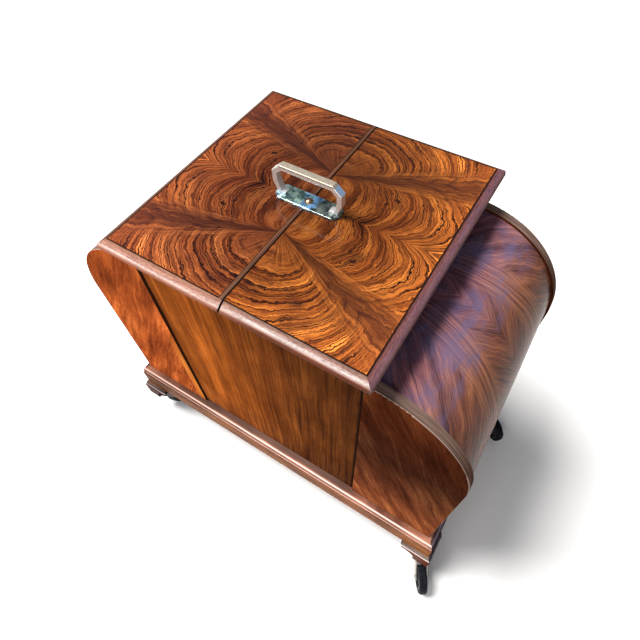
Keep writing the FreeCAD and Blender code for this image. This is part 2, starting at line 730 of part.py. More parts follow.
def make_lid(name, side):
    """A veneered leaf with a bowed moulding mitred on three sides, notched round the handle's post."""
    heights = (lid_under, dim.lid_top)
    near_y = lid_middle - field_half_y
    far_y = lid_middle + field_half_y
    edge = dim.leaf_gap / 2
    meeting = edge + dim.seam_bead if side < 0 else edge
    notch = dim.post_radius + dim.post_gap

    def notched(board):
        return cut(board, rod(notch, *heights, 0, handle_y))

    field = box(span(side, meeting, field_half_x), (near_y, far_y), heights)
    node(f"{name}_lid_panel", field if side < 0 and notch.value < meeting.value else notched(field))
    if side < 0:
        node("lid_seam_bead", notched(box(span(side, edge, meeting), (near_y, far_y), heights)))

    tip = field_half_x + dim.moulding
    front = near_y - dim.moulding
    back = far_y + dim.moulding
    nose = dim.lid_top - dim.moulding_drop
    crest = field_half_x - dim.moulding_lap
    near_crest = near_y + dim.moulding_lap
    far_crest = far_y - dim.moulding_lap
    across = new_body("moulding_across")
    elevation = [
        (side * edge, lid_under),
        (side * (field_half_x + dim.moulding_foot), lid_under),
        (side * tip, nose),
        bowed((side * tip, nose), (side * crest, dim.lid_top), dim.moulding_bow, side),
        (side * edge, dim.lid_top),
    ]
    pad(across, "XZ_Plane", elevation, back - front, -front)
    rounded(across, dim.moulding_nose, lambda middle, edges: abs(middle.x - side * tip.value) < FLAT)
    along = new_body("moulding_along")
    elevation = [
        (near_y - dim.moulding_foot, lid_under),
        (far_y + dim.moulding_foot, lid_under),
        (back, nose),
        bowed((back, nose), (far_crest, dim.lid_top), dim.moulding_bow, 1),
        (near_crest, dim.lid_top),
        bowed((near_crest, dim.lid_top), (front, nose), dim.moulding_bow, 1),
    ]
    pad(along, "YZ_Plane", elevation, tip - edge, span(side, edge, tip)[0])
    rounded(
        along,
        dim.moulding_nose,
        lambda middle, edges: min(abs(middle.y - front.value), abs(middle.y - back.value)) < FLAT,
    )
    plan = new_body("moulding_plan")
    straight = tip - dim.lid_corner
    front_turn = front + dim.lid_corner
    back_turn = back - dim.lid_corner
    path = [
        (side * edge, front),
        (side * straight, front),
        Arc((side * tip, front_turn), (side * straight, front_turn), dim.lid_corner, side),
        (side * tip, back_turn),
        Arc((side * straight, back), (side * straight, back_turn), dim.lid_corner, side),
        (side * edge, back),
    ]
    pad(plan, "XY_Plane", path, dim.lid_thick, lid_under)
    around = (lid_under - dim.moulding, dim.lid_top + dim.moulding)
    field_space = box(span(side, 0, field_half_x), (near_y, far_y), around)
    node(f"{name}_lid_moulding", cut(common([across, along, plan]), field_space))


def make_wing(name, side):
    """A quarter-round door: two boards, a bent panel between them, a floor, a shelf and brass rails."""

    def across(x, z):
        return side * (wing_in + x), z

    full = dim.wing_radius
    turn = side
    board_path = [
        across(0, wing_bottom),
        across(full, wing_bottom),
        across(full, wing_turn),
        Arc(across(0, dim.wing_top), across(0, wing_turn), full, turn),
    ]
    for end, face in (("front", -dim.body_half_y), ("back", wing_inner_y)):
        board = new_body("wing_board")
        pad(board, "XZ_Plane", board_path, dim.wing_board)
        outer_y = 0 if end == "front" else dim.wing_board.value
        low = wing_bottom.value + 1
        inner_x = wing_in.value + 1
        rounded(
            board,
            dim.rim_round,
            lambda middle, edges: edges.YLength < FLAT
            and abs(middle.y - outer_y) < FLAT
            and middle.z > low
            and abs(middle.x) > inner_x,
        )
        put(board, 0, face, 0)
        node(f"{name}_wing_{end}_board", board)

    curve = new_body("wing_curve")
    pad(
        curve,
        "XZ_Plane",
        [
            across(0, wing_turn + curve_out),
            Arc(across(curve_out, wing_turn), across(0, wing_turn), curve_out, -turn),
            across(curve_out, wing_bottom),
            across(curve_in, wing_bottom),
            across(curve_in, wing_turn),
            Arc(across(0, wing_turn + curve_in), across(0, wing_turn), curve_in, turn),
        ],
        2 * wing_inner_y,
    )
    put(curve, 0, -wing_inner_y, 0)
    node(f"{name}_wing_curved_panel", curve)

    inside = (-wing_inner_y, wing_inner_y)
    shelf_top = wing_shelf_low + dim.wing_shelf
    floor_x = span(side, wing_in, wing_in + curve_in)
    node(f"{name}_wing_floor", box(floor_x, inside, (wing_bottom, wing_floor_top)))
    shelf_x = span(side, wing_in + dim.wing_shelf_set, wing_in + curve_in)
    node(f"{name}_wing_shelf", box(shelf_x, inside, (wing_shelf_low, shelf_top)))
    rails = []
    for base in (wing_floor_top, shelf_top):
        x = side * (wing_in + dim.wing_rail_in)
        rails.append(rod(dim.rod_radius, *inside, x, base + dim.wing_rail_up, "y"))
    group(f"{name}_wing_rails", rails)


def make_caddy():
    """The lift: a tray between two gables, joined by a ridge rail, with a shelf and brass rails."""
    wide = (-caddy_half_x, caddy_half_x)
    inside = (-gable_in, gable_in)
    node("caddy_tray", box(wide, inside, (caddy_bottom, tray_top)))
    shoulder = caddy_bottom + dim.gable_side
    gable_path = [
        (-caddy_half_x, caddy_bottom),
        (caddy_half_x, caddy_bottom),
        (caddy_half_x, shoulder),
        (dim.ridge_half, ridge_top),
        (-dim.ridge_half, ridge_top),
        (-caddy_half_x, shoulder),
    ]
    groove = dim.guide_half + dim.guide_gap
    groove_path = rectangle((-groove, groove), (caddy_bottom, ridge_top))
    for end, face in (("front", -caddy_half_y), ("back", gable_in)):
        body = new_body("gable")
        pad(body, "XZ_Plane", gable_path, dim.gable)
        lift = 0 if end == "front" else -dim.gable + dim.guide_depth
        sketch = sketch_on(body, "XZ_Plane", lift)
        outline(sketch, groove_path)
        extrude(body, "Pocket", sketch, dim.guide_depth)
        put(body, 0, face, 0)
        node(f"caddy_{end}_gable", body)
    rail_low = ridge_top - dim.ridge_rail
    rail = box((-dim.ridge_rail_half, dim.ridge_rail_half), inside, (rail_low, ridge_top))
    post_foot = ridge_top - dim.post_deep
    node("caddy_ridge_rail", cut(rail, rod(dim.post_radius, post_foot, ridge_top, 0, handle_y)))
    post = rod(dim.post_radius, post_foot, plate_bottom, 0, handle_y)
    shank_end = plate_top - dim.screw_long
    node("lift_post", cut(post, rod(dim.screw_shank, shank_end, plate_bottom, 0, handle_y)))

    shelf_x = (-dim.glass_shelf_half, dim.glass_shelf_half)
    shelf_low = tray_top + dim.glass_shelf_up
    shelf_top = shelf_low + dim.glass_shelf
    node("caddy_glass_shelf", box(shelf_x, inside, (shelf_low, shelf_top)))
    rails = []
    for side in (-1, 1):
        outer_x = side * (caddy_half_x - dim.rail_edge)
        gallery_x = side * (dim.glass_shelf_half - dim.rail_edge)
        rails.append(rod(dim.rod_radius, *inside, outer_x, tray_top + dim.caddy_rail_up, "y"))
        rails.append(rod(dim.rod_radius, *inside, gallery_x, shelf_top + dim.gallery_up, "y"))
    group("caddy_rails", rails)


def make_handle():
    """A plate with clipped corners, a chamfered grip on it and a domed screw into the post."""
    plate = new_body("handle_plate")
    clip_x = dim.plate_half_x - dim.plate_clip
    clip_y = dim.plate_half_y - dim.plate_clip
    sketch = sketch_on(plate, "XY_Plane")
    outline(
        sketch,
        [
            (dim.plate_half_x, -clip_y),
            (dim.plate_half_x, clip_y),
            (clip_x, dim.plate_half_y),
            (-clip_x, dim.plate_half_y),
            (-dim.plate_half_x, clip_y),
            (-dim.plate_half_x, -clip_y),
            (-clip_x, -dim.plate_half_y),
            (clip_x, -dim.plate_half_y),
        ],
    )
    circle(sketch, (0, 0), dim.screw_shank)
    extrude(plate, "Pad", sketch, dim.plate_thick)
    brim = dim.plate_thick.value - FLAT
    hole = dim.screw_shank.value + FLAT
    rounded(
        plate,
        dim.plate_edge,
        lambda middle, edges: edges.ZMin > brim and hypot(middle.x, middle.y) > hole,
    )
    put(plate, 0, handle_y, plate_bottom)
    node("handle_plate", plate)

    grip = new_body("handle_grip")
    bar = dim.grip_bar
    foot_middle = (dim.grip_foot_out + dim.grip_foot_in) / 2
    outside = [
        (dim.grip_foot_in, 0),
        (dim.grip_foot_out, 0),
        (dim.grip_foot_out, dim.grip_foot),
        (dim.grip_half, dim.arm_low),
        (dim.grip_half, dim.grip_high - dim.shoulder_z),
        (dim.grip_half - dim.shoulder_x, dim.grip_high),
    ]
    inside = [
        (dim.grip_half - dim.shoulder_x - dim.shoulder_in, dim.grip_high - bar),
        (dim.grip_half - bar, dim.grip_high - dim.shoulder_z - dim.shoulder_in),
        (dim.grip_half - bar, dim.arm_low + dim.shoulder_in),
        (foot_middle, dim.grip_foot),
        (dim.grip_foot_in, dim.grip_foot),
    ]
    path = outside + [(-x, z) for x, z in reversed(outside)]
    path += [(-x, z) for x, z in reversed(inside)] + inside
    pad(grip, "XZ_Plane", path, dim.grip_wide)
    above = dim.grip_foot.value + 1
    rounded(grip, dim.grip_edge, lambda middle, edges: edges.YLength < FLAT and middle.z > above)
    put(grip, 0, handle_y - dim.grip_wide / 2, plate_top)
    node("handle_grip", grip)

    screw = new_body("handle_screw")
    radius = (dim.screw_head * dim.screw_head + dim.screw_dome * dim.screw_dome) / (2 * dim.screw_dome)
    dome = Arc((0, dim.screw_dome), (0, dim.screw_dome - radius), radius, 1)
    shank = [
        (0, -dim.screw_long),
        (dim.screw_shank, -dim.screw_long),
        (dim.screw_shank, 0),
        (dim.screw_head, 0),
    ]
    turn_profile(screw, shank + [dome], "XZ_Plane")
    put(screw, 0, handle_y, plate_top)
    node("handle_screw", screw)


make_plinth()
for corner, (side_x, side_y, foot_turn, trails) in CORNERS.items():
    make_foot(corner, side_x, side_y, foot_turn)
    make_castor(corner, side_x, side_y, trails)
make_sockets()
make_centre()
make_hinges()
for name, side in WING_SIDES.items():
    make_lid(name, side)
    make_wing(name, side)
make_caddy()
make_handle()
doc.recompute()

failed = [obj.Label for obj in doc.Objects if {"Invalid", "Error"} & set(obj.State)]
failed += [label for label, obj in nodes.items() if obj.Shape.isNull() or not obj.Shape.isValid()]
if failed:
    raise RuntimeError("pieces that did not build: " + ", ".join(sorted(set(failed))))
os.makedirs("parts", exist_ok=True)
for label, obj in nodes.items():
    obj.Shape.exportStep(f"parts/{label}.step")
print(len(nodes), "pieces written")
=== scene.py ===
import json
import math
from types import SimpleNamespace

import bmesh
import bpy
from mathutils import Matrix, Vector


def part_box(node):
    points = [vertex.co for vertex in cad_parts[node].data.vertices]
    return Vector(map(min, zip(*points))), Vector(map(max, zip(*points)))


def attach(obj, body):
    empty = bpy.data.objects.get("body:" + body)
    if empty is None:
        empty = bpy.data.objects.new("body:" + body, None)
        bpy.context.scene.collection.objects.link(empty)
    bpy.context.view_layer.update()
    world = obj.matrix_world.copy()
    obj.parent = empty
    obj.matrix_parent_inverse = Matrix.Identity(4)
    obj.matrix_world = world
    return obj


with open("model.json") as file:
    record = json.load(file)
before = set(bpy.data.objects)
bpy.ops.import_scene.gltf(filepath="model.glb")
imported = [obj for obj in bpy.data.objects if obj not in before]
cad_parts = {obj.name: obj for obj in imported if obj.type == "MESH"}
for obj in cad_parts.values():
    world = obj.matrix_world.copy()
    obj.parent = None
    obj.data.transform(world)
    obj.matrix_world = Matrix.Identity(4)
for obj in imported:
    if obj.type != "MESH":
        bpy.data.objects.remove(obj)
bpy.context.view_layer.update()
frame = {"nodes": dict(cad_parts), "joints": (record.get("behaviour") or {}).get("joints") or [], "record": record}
nodes = frame["nodes"]
joints = {joint["name"]: joint for joint in frame["joints"]}

# A walnut cellarette: procedural finishes for the solids, and the screws of the hinges. Metres, +Z up,
# front towards -Y. At rest a node's own coordinates are those of the frame, so finishes go by place.

# Places read from the frame.
field_low, field_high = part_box("right_lid_panel")
bead_low, bead_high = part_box("lid_seam_bead")
front_low, front_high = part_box("front_panel")
wing_low, wing_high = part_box("right_wing_front_board")
curve_low, curve_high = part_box("right_wing_curved_panel")
LID_Y = (field_low.y + field_high.y) / 2
FIELD_X = field_high.x
FIELD_Y = (field_high.y - field_low.y) / 2
SLOT_X = field_low.x
SEAM_X = (bead_low.x + bead_high.x) / 2
WING_X = wing_low.x
BEND_Z = wing_high.z - (wing_high.x - wing_low.x)
BOARD_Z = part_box("plinth_top_board")[0].z
RAIL_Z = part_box("plinth_rails")[0].z
PLATE_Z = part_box("handle_plate")[1].z
GRIP_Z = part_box("handle_grip")[1].z

# The lid's veneer, in shares of the field's half width and half depth, and radians.
CROTCH_UP = 0.33  # how far the heart of a quarter's crotch lies from the lid's middle
FEATHER_SLANT = 0.36  # direction of the feather as it leaves the heart
FIELD_LINE = 0.991  # where the dark line round the field begins

# Sizes that finishes go by.
NOSE_DROP = 0.011  # depth of the moulding's nose below the lid's top
NOSE_Z = field_high.z - NOSE_DROP
BOW_RUN = 0.024  # way over the moulding's bow on which its tones change
GAP_SHADE = 0.0008  # width of the painted shade on the moulding's ends at the slot between the leaves
SEAM_EDGE = 0.0027  # half width of the brown part of the seam's lipping
LEAN_Z = 0.5  # height about which the panels' grain leans
SLOT_SHADE_WIDTH = 0.0035  # width of the painted shade at the front panel's right edge
SLOT_SHADE_DEPTH = 0.004  # depth of that painted shade behind the panel's face
LIPPING = 0.0205  # width of the lipping on the left wing
RIM_SLOT_SHADE = 0.002  # width of the painted shade on a wing board's rim beside the slot
CURVE_HALF = 0.005  # half the thickness of a curved panel
CURVE_RADIUS = curve_high.x - curve_low.x - CURVE_HALF
MATCH_Y = 0.005  # where the veneers of a curved panel meet
FEATHER_Y = 0.114  # distance of a curved panel's feathers from there
BEAD = 0.008  # thickness of the bead under the plinth's nosing
QUIRK_Z = BOARD_Z + BEAD
SLAB_LINE = 0.0032  # depth of the painted shade line below a foot's top
SLAB = 0.008  # thickness of a foot's top slab
BAND = 0.005  # depth of the band of painted highlight under that slab
LINE_Z = RAIL_Z - SLAB_LINE
SLAB_Z = RAIL_Z - SLAB
BAND_Z = SLAB_Z - BAND
FEET_UP = 0.0095  # height of the grip's feet, with their painted highlight, above the plate
SHOULDER_UP = 0.027  # height above the plate between the bends of the grip's arms and its shoulders, where the painted sky reflection begins
GRIP_EDGE = 0.003  # depth of the grip's dark top
COPPER_UNDER = 0.00075  # how far below the plate's top the handle's screw turns coppery
SOFT = 0.0005  # half width of a sharp change of tone
RELIEF = 0.0004  # depth of the bumps in wood and rubber
FINE_RELIEF = 0.0003  # depth of the bumps in the seam's lipping, metal and paint

# The hinges and their screws.
HINGE_HALF = 0.03  # half the length of a hinge
LEAF_OFF = 0.0115  # distance of the screws from the pin's axis, along a leaf
LEAF_FACE = 0.003  # distance of a leaf's outer face from the pin's axis, square to it
LEAF_SCREWS = (-0.02, 0.0, 0.02)  # places of the screws from the middle of a hinge
HEAD_RADIUS = 0.0029  # radius of a screw's head
HEAD_TOP = 0.0025  # radius of its flat top
HEAD_PROUD = 0.0003  # height of its top above the leaf
HEAD_STEPS = 14  # facets round half a head
SLOT_HALF = 0.0004  # half the width of its slot
SLOT_FLOOR = 0.00004  # height of the slot's floor above the leaf
FIRST_TURN = 0.4  # direction of the first screw's slot, in radians
NEXT_TURN = 1.3  # turn from one screw's slot to the next

# The stage and the camera.
FLOOR_REACH = 12.0  # half the width of the floor
PHOTO_WIDTH = 640  # width of the photo, in pixels
FOCAL_PIXELS = 484.23  # focal length, in pixels
SENSOR = 36.0  # width of the sensor, in millimetres
EYE = (0.3371, -0.4907, 1.3988)  # place of the camera
VIEW_RIGHT = (0.8491, 0.5274, -0.0247)  # directions of the picture
VIEW_DOWN = (0.4286, -0.7156, -0.5513)
VIEW_AHEAD = (-0.3086, 0.4576, -0.8339)

SOCKETS = {
    "metallic": "Metallic",
    "specular": "Specular IOR Level",
    "coat": "Coat Weight",
    "coat_roughness": "Coat Roughness",
}


class Graph:
    """A material's node tree, with short calls for the nodes that the finishes share."""

    def __init__(self, name):
        self.material = bpy.data.materials.new(name)
        self.material.use_nodes = True
        self.tree = self.material.node_tree
        self.tree.nodes.clear()
        self.shader = self.add("ShaderNodeBsdfPrincipled")
        output = self.add("ShaderNodeOutputMaterial")
        self.tree.links.new(self.shader.outputs[0], output.inputs["Surface"])
        coords = self.add("ShaderNodeTexCoord")
        self.place = coords.outputs["Object"]
        self.x, self.y, self.z = self.split(self.place)
        self.facing = coords.outputs["Normal"]

    def add(self, kind):
        return self.tree.nodes.new(kind)

    def link(self, value, socket):
        """Give a socket a value, which is another socket or a constant."""
        if isinstance(value, bpy.types.NodeSocket):
            self.tree.links.new(value, socket)
        else:
            socket.default_value = value

    def split(self, vector):
        node = self.add("ShaderNodeSeparateXYZ")
        self.link(vector, node.inputs[0])
        return node.outputs

    def math(self, operation, first, second=0.0):
        node = self.add("ShaderNodeMath")
        node.operation = operation
        self.link(first, node.inputs[0])
        self.link(second, node.inputs[1])
        return node.outputs[0]

    def chain(self, operation, values):
        total = values[0]
        for value in values[1:]:
            total = self.math(operation, total, value)
        return total

    def plus(self, *values):
        return self.chain("ADD", values)

    def times(self, *values):
        return self.chain("MULTIPLY", values)

    def absolute(self, value):
        return self.math("ABSOLUTE", value)

    def decay(self, value, rate):
        """Falls from 1 towards 0 as the value grows."""
        return self.math("EXPONENT", self.times(value, -rate))

    def span(self, value, low, high, to_low=0.0, to_high=1.0, smooth=True):
        """Map a stretch of values to another, clamped at both ends."""
        node = self.add("ShaderNodeMapRange")
        node.interpolation_type = "SMOOTHSTEP" if smooth else "LINEAR"
        for number, socket in zip((low, high, to_low, to_high), node.inputs[1:5]):
            socket.default_value = number
        self.link(value, node.inputs[0])
        return node.outputs[0]

    def above(self, value, edge, soft):
        """1 above an edge and 0 below it, with a change that begins and ends at soft from the edge."""
        return self.span(value, edge - soft, edge + soft)

    def below(self, value, edge, soft):
        return self.span(value, edge + soft, edge - soft)

    def vector(self, x=0.0, y=0.0, z=0.0):
        node = self.add("ShaderNodeCombineXYZ")
        for value, socket in zip((x, y, z), node.inputs):
            self.link(value, socket)
        return node.outputs[0]

    def flat(self, first, second, layer=0.0):
        """A vector from two pairs of a value and its factor. Other layers give other noise."""
        return self.vector(self.times(*first), self.times(*second), layer)

    def scaled(self, x, y, z):
        """The place, with a factor along each axis."""
        return self.vector(self.times(self.x, x), self.times(self.y, y), self.times(self.z, z))

    def noise(self, vector, scale=1.0, detail=3.0, rough=0.55, warp=0.0):
        node = self.add("ShaderNodeTexNoise")
        self.link(vector, node.inputs["Vector"])
        node.inputs["Scale"].default_value = scale
        node.inputs["Detail"].default_value = detail
        node.inputs["Roughness"].default_value = rough
        node.inputs["Distortion"].default_value = warp
        return node.outputs["Fac"]

    def waver(self, *noise):
        """Noise about zero."""
        return self.plus(self.noise(*noise), -0.5)

    def ramp(self, value, stops):
        node = self.add("ShaderNodeValToRGB")
        elements = node.color_ramp.elements
        while len(elements) < len(stops):
            elements.new(0.5)
        for element, (position, colour) in zip(elements, stops):
            element.position = position
            element.color = (*colour, 1.0)
        self.link(value, node.inputs[0])
        return node.outputs[0]

    def blend(self, factor, first, second, mode="MIX"):
        """Mix two colours."""
        node = self.add("ShaderNodeMix")
        node.data_type = "RGBA"
        node.blend_type = mode
        self.link(factor, node.inputs[0])
        for value, socket in ((first, node.inputs[6]), (second, node.inputs[7])):
            self.link(value if isinstance(value, bpy.types.NodeSocket) else (*value, 1.0), socket)
        return node.outputs[2]

    def tint(self, colour, by, amount=1.0):
        """Multiply a colour by another, or part of the way."""
        return self.blend(amount, colour, by, "MULTIPLY")

    def mix(self, factor, first, second):
        """Mix two numbers."""
        node = self.add("ShaderNodeMix")
        for value, number in ((factor, 0), (first, 2), (second, 3)):
            self.link(value, node.inputs[number])
        return node.outputs[0]

    def bump(self, height, strength, distance):
        node = self.add("ShaderNodeBump")
        node.inputs["Strength"].default_value = strength
        node.inputs["Distance"].default_value = distance
        self.link(height, node.inputs["Height"])
        self.link(node.outputs[0], self.shader.inputs["Normal"])

    def uneven(self, grain, low, high):
        """Roughness that goes with the grain."""
        return self.span(grain, 0.2, 0.8, low, high)

    def finish(self, colour, roughness, **constants):
        """Give the shader its colour, its roughness and its constants."""
        self.link(colour, self.shader.inputs["Base Color"])
        self.link(roughness, self.shader.inputs["Roughness"])
        for name, value in constants.items():
            self.shader.inputs[SOCKETS[name]].default_value = value
        return self.material


FIBRES = 6.0  # fibres to one growth line
PORES = 1.7  # pores to one fibre


def growth_lines(g, ring, along, pitch, width):
    """Long thin lines that follow the growth rings, each with its own strength, fading here and there."""
    wander = g.noise(g.flat((ring, pitch * 0.22), (along, 0.3)), 1.0, 2.0)
    phase = g.plus(g.times(ring, pitch), g.times(wander, 2.2))
    number = g.math("FLOOR", phase)
    middle = g.absolute(g.plus(g.math("FRACT", phase), -0.5))
    chance = g.add("ShaderNodeTexWhiteNoise")
    chance.noise_dimensions = "1D"
    g.link(number, chance.inputs["W"])
    strength = g.span(chance.outputs["Value"], 0.1, 0.8, 0.2, 1.0)
    gaps = g.noise(g.flat((number, 3.7), (along, 2.4)), 1.0, 2.0)
    line = g.span(middle, width, width * 0.25)
    return g.times(line, strength, g.span(gaps, 0.32, 0.48))


def figured(g, ring, along, stops, ink, pitch, width, amount):
    """Veneer from a value that counts growth rings and one that runs along them: its colour and its fibre."""
    broad = g.noise(g.flat((ring, pitch * 0.16), (along, 0.5)), 1.0, 3.0)
    fibre = g.noise(g.flat((ring, pitch * FIBRES), (along, 5.0)), 1.0, 3.0, 0.6)
    band = g.noise(g.flat((ring, pitch * 0.9), (along, 0.8)), 1.0, 2.0)
    tone = g.plus(g.times(broad, 0.6), g.times(fibre, 0.4), g.times(band, 0.4), -0.2)
    pores = g.noise(g.flat((ring, pitch * FIBRES * PORES), (along, 24.0)), 1.0, 1.0)
    flecked = g.blend(g.span(pores, 0.56, 0.72, 0.0, 0.5), g.ramp(tone, stops), ink)
    lines = g.times(growth_lines(g, ring, along, pitch, width), amount)
    return g.blend(lines, flecked, ink), fibre


def lid_quarter(g):
    """Values over one quarter of the lid's field, mirrored into the other three, that its veneer goes by."""
    q = SimpleNamespace()
    q.across = g.times(g.absolute(g.x), 1 / FIELD_X)
    q.deep = g.times(g.absolute(g.plus(g.y, -LID_Y)), 1 / FIELD_Y)
    folded = g.vector(q.across, q.deep)
    q.drift = g.waver(folded, 2.4, 1.0)
    q.ripple = g.waver(folded, 9.0, 2.0)
    q.shiver = g.waver(folded, 30.0, 2.0)
    rise = g.plus(q.deep, -CROTCH_UP)
    wide = g.times(q.across, 0.93)
    q.heart = g.math("SQRT", g.plus(g.times(wide, wide), g.times(rise, rise), 0.001))
    q.slant = g.math("ARCTAN2", g.plus(rise, g.times(q.drift, 0.05)), g.plus(q.across, 0.02))
    q.beyond = g.above(q.slant, FEATHER_SLANT, 0.05)
    q.off = g.plus(q.slant, -FEATHER_SLANT, g.times(q.ripple, 0.16))
    q.aside = g.absolute(q.off)
    q.ring = lid_rings(g, q)
    return q


def lid_rings(g, q):
    """Growth rings: lobes beside the seam, arcs round the heart beyond the feather, swept along between."""
    peak = g.plus(q.deep, -0.13)
    fan = g.plus(g.times(q.across, q.across, 0.26), 0.05)
    cusp = g.times(g.decay(q.deep, 13.0), fan)
    lobe = g.plus(q.across, cusp, g.times(peak, peak, 0.8))
    arcs = g.plus(g.times(q.heart, 1.1), 0.37)
    waves = g.plus(g.times(q.drift, 0.12), g.times(q.ripple, 0.05), g.times(q.shiver, 0.03))
    return g.plus(g.mix(q.beyond, lobe, arcs), waves, g.times(g.decay(q.aside, 6.0), 0.2))


def lid_swirl(g, q):
    """Lined veneer of the lobes and arcs, plainer towards the heart."""
    ink = (0.012, 0.004, 0.003)
    stops = [
        (0.36, (0.035, 0.009, 0.004)),
        (0.45, (0.13, 0.034, 0.009)),
        (0.53, (0.28, 0.085, 0.018)),
        (0.66, (0.5, 0.185, 0.042)),
    ]
    inked = g.span(q.heart, 0.1, 0.4, 0.2, 1.0)
    fine, fibre = figured(g, q.ring, q.slant, stops, ink, 60.0, 0.3, inked)
    heavy = growth_lines(g, g.plus(q.ring, g.times(q.shiver, 0.02)), q.slant, 16.0, 0.17)
    strong = g.times(heavy, g.span(q.heart, 0.15, 0.4, 0.1, 1.0))
    return g.blend(strong, fine, ink), fibre


def lid_feather(g, q):
    """Bent hairs that leave the heart."""
    bent = g.plus(q.slant, g.times(q.ripple, 0.09), g.times(q.shiver, 0.03))
    hair = g.noise(g.flat((bent, 120.0), (q.heart, 3.0)), 1.0, 3.0, 0.65)
    strand = g.noise(g.flat((bent, 34.0), (q.heart, 1.6), 4.0), 1.0, 2.0, 0.5)
    return g.ramp(
        g.plus(g.times(hair, 0.55), g.times(strand, 0.45)),
        [
            (0.38, (0.03, 0.009, 0.005)),
            (0.46, (0.1, 0.028, 0.009)),
            (0.53, (0.2, 0.062, 0.016)),
            (0.63, (0.46, 0.175, 0.044)),
        ],
    )


def lid_light(g, q, wood):
    """Painted light on the wood: dim round the handle, a painted glare growing towards the edges, darker behind
    the handle, a painted bluish sky reflection on the left leaves and painted light on the right ones.
    """
    edge = g.math("SQRT", g.plus(g.times(q.across, q.across), g.times(q.deep, q.deep, 0.8)))
    # painted glare: dim round the handle, brighter towards the edges
    painted_glare = g.ramp(
        g.times(edge, 0.75),
        [
            (0.08, (0.38, 0.33, 0.33)),
            (0.38, (0.74, 0.66, 0.6)),
            (0.68, (1.32, 1.24, 1.1)),
            (0.95, (2.3, 2.15, 1.8)),
        ],
    )
    lit = g.tint(wood, painted_glare)
    # painted sky reflection, a bluish haze, over the left leaves; painted light over the right ones
    left = g.tint(lit, (0.9, 0.82, 1.15))
    right = g.tint(lit, (1.16, 1.12, 1.0))
    toned = g.blend(g.above(g.x, 0.0, 0.02), left, right)
    back = g.span(g.plus(g.y, -LID_Y), 0.02, 0.1)
    behind = g.times(back, g.span(g.absolute(g.x), 0.2, 0.05, 0.3, 1.0))
    return g.blend(g.times(behind, 0.4), toned, (0.03, 0.01, 0.006))


def lid_veneer():
    """Four matched leaves of crotch walnut, a dark feather in each, inside a thin dark line."""
    g = Graph("lid_veneer")
    q = lid_quarter(g)
    swirl, fibre = lid_swirl(g, q)
    near = g.span(q.aside, 0.27, 0.08, 0.0, 0.85)
    flame = g.times(g.span(q.heart, 0.4, 0.12, 0.0, 0.8), q.beyond, g.span(q.slant, 1.5, 1.1, 0.3, 1.0))
    figure = g.blend(g.math("MAXIMUM", near, flame), swirl, lid_feather(g, q))
    core = g.times(g.span(q.aside, 0.17, 0.05), g.span(q.heart, 1.3, 0.7, 0.5, 1.0))
    cloud = g.noise(g.place, 13.0, 3.0, 0.6)
    smoke = g.noise(g.flat((q.ring, 11.0), (q.slant, 2.6), g.math("SIGN", g.x)), 1.0, 3.0, 0.6)
    blots = g.plus(g.span(cloud, 0.5, 0.72, 0.0, 0.4), g.span(smoke, 0.5, 0.68, 0.0, 0.4))
    banded = g.blend(g.plus(g.times(core, 0.68), blots), figure, (0.03, 0.009, 0.006))
    # a thin dark line round the field
    field_line = g.above(g.math("MAXIMUM", q.across, q.deep), FIELD_LINE, 0.0005)
    colour = g.blend(field_line, lid_light(g, q, banded), (0.012, 0.006, 0.004))
    g.bump(fibre, 0.05, RELIEF)
    return g.finish(colour, g.uneven(fibre, 0.18, 0.28), specular=0.05, coat=0.2, coat_roughness=0.07)


def moulding_front(g, width):
    """Tones over the front's bow, with a white painted highlight: broad and warm on the left, sharp on the right;
    painted shade under the nose.
    """
    # left: a broad warm painted highlight over the middle of the bow, painted shade under the nose
    painted_glare = g.ramp(
        width,
        [
            (0.0, (0.2, 0.095, 0.06)),
            (0.2, (0.3, 0.15, 0.11)),
            (0.36, (0.36, 0.21, 0.17)),
            (0.45, (0.5, 0.4, 0.38)),
            (0.53, (0.34, 0.175, 0.13)),
            (0.62, (0.2, 0.068, 0.034)),
            (0.9, (0.12, 0.029, 0.009)),
        ],
    )
    # right: a sharp painted highlight, painted shade under the nose
    plain = g.ramp(
        width,
        [
            (0.0, (0.13, 0.08, 0.062)),
            (0.18, (0.25, 0.14, 0.115)),
            (0.35, (0.5, 0.45, 0.44)),
            (0.43, (0.38, 0.28, 0.255)),
            (0.52, (0.12, 0.04, 0.023)),
            (0.64, (0.07, 0.017, 0.005)),
        ],
    )
    return g.blend(g.span(g.x, -0.06, 0.08), painted_glare, plain)


def moulding_flank(g, width, along, across):
    """Mauve tones over the sides' bow, darkening to painted shade under the nose, with bluer blotches of painted
    sky reflection, more of them towards the back.
    """
    tones = g.ramp(
        width,
        [
            (0.0, (0.075, 0.028, 0.022)),
            (0.12, (0.24, 0.105, 0.095)),
            (0.36, (0.26, 0.14, 0.165)),
            (0.5, (0.22, 0.12, 0.125)),
            (0.62, (0.12, 0.062, 0.06)),
            (0.9, (0.02, 0.008, 0.01)),
        ],
    )
    mauve = g.tint(tones, (0.8, 0.74, 0.78))
    # bluer blotches: painted sky reflection, more of it towards the back
    blotch = g.noise(g.flat((along, 40.0), (across, 120.0), 3.0), 1.0, 3.0, 0.6)
    cool = g.times(g.span(blotch, 0.42, 0.62, 0.0, 0.55), g.span(g.y, -0.2, 0.1, 0.4, 1.0))
    return g.tint(mauve, (0.66, 0.8, 1.15), cool)


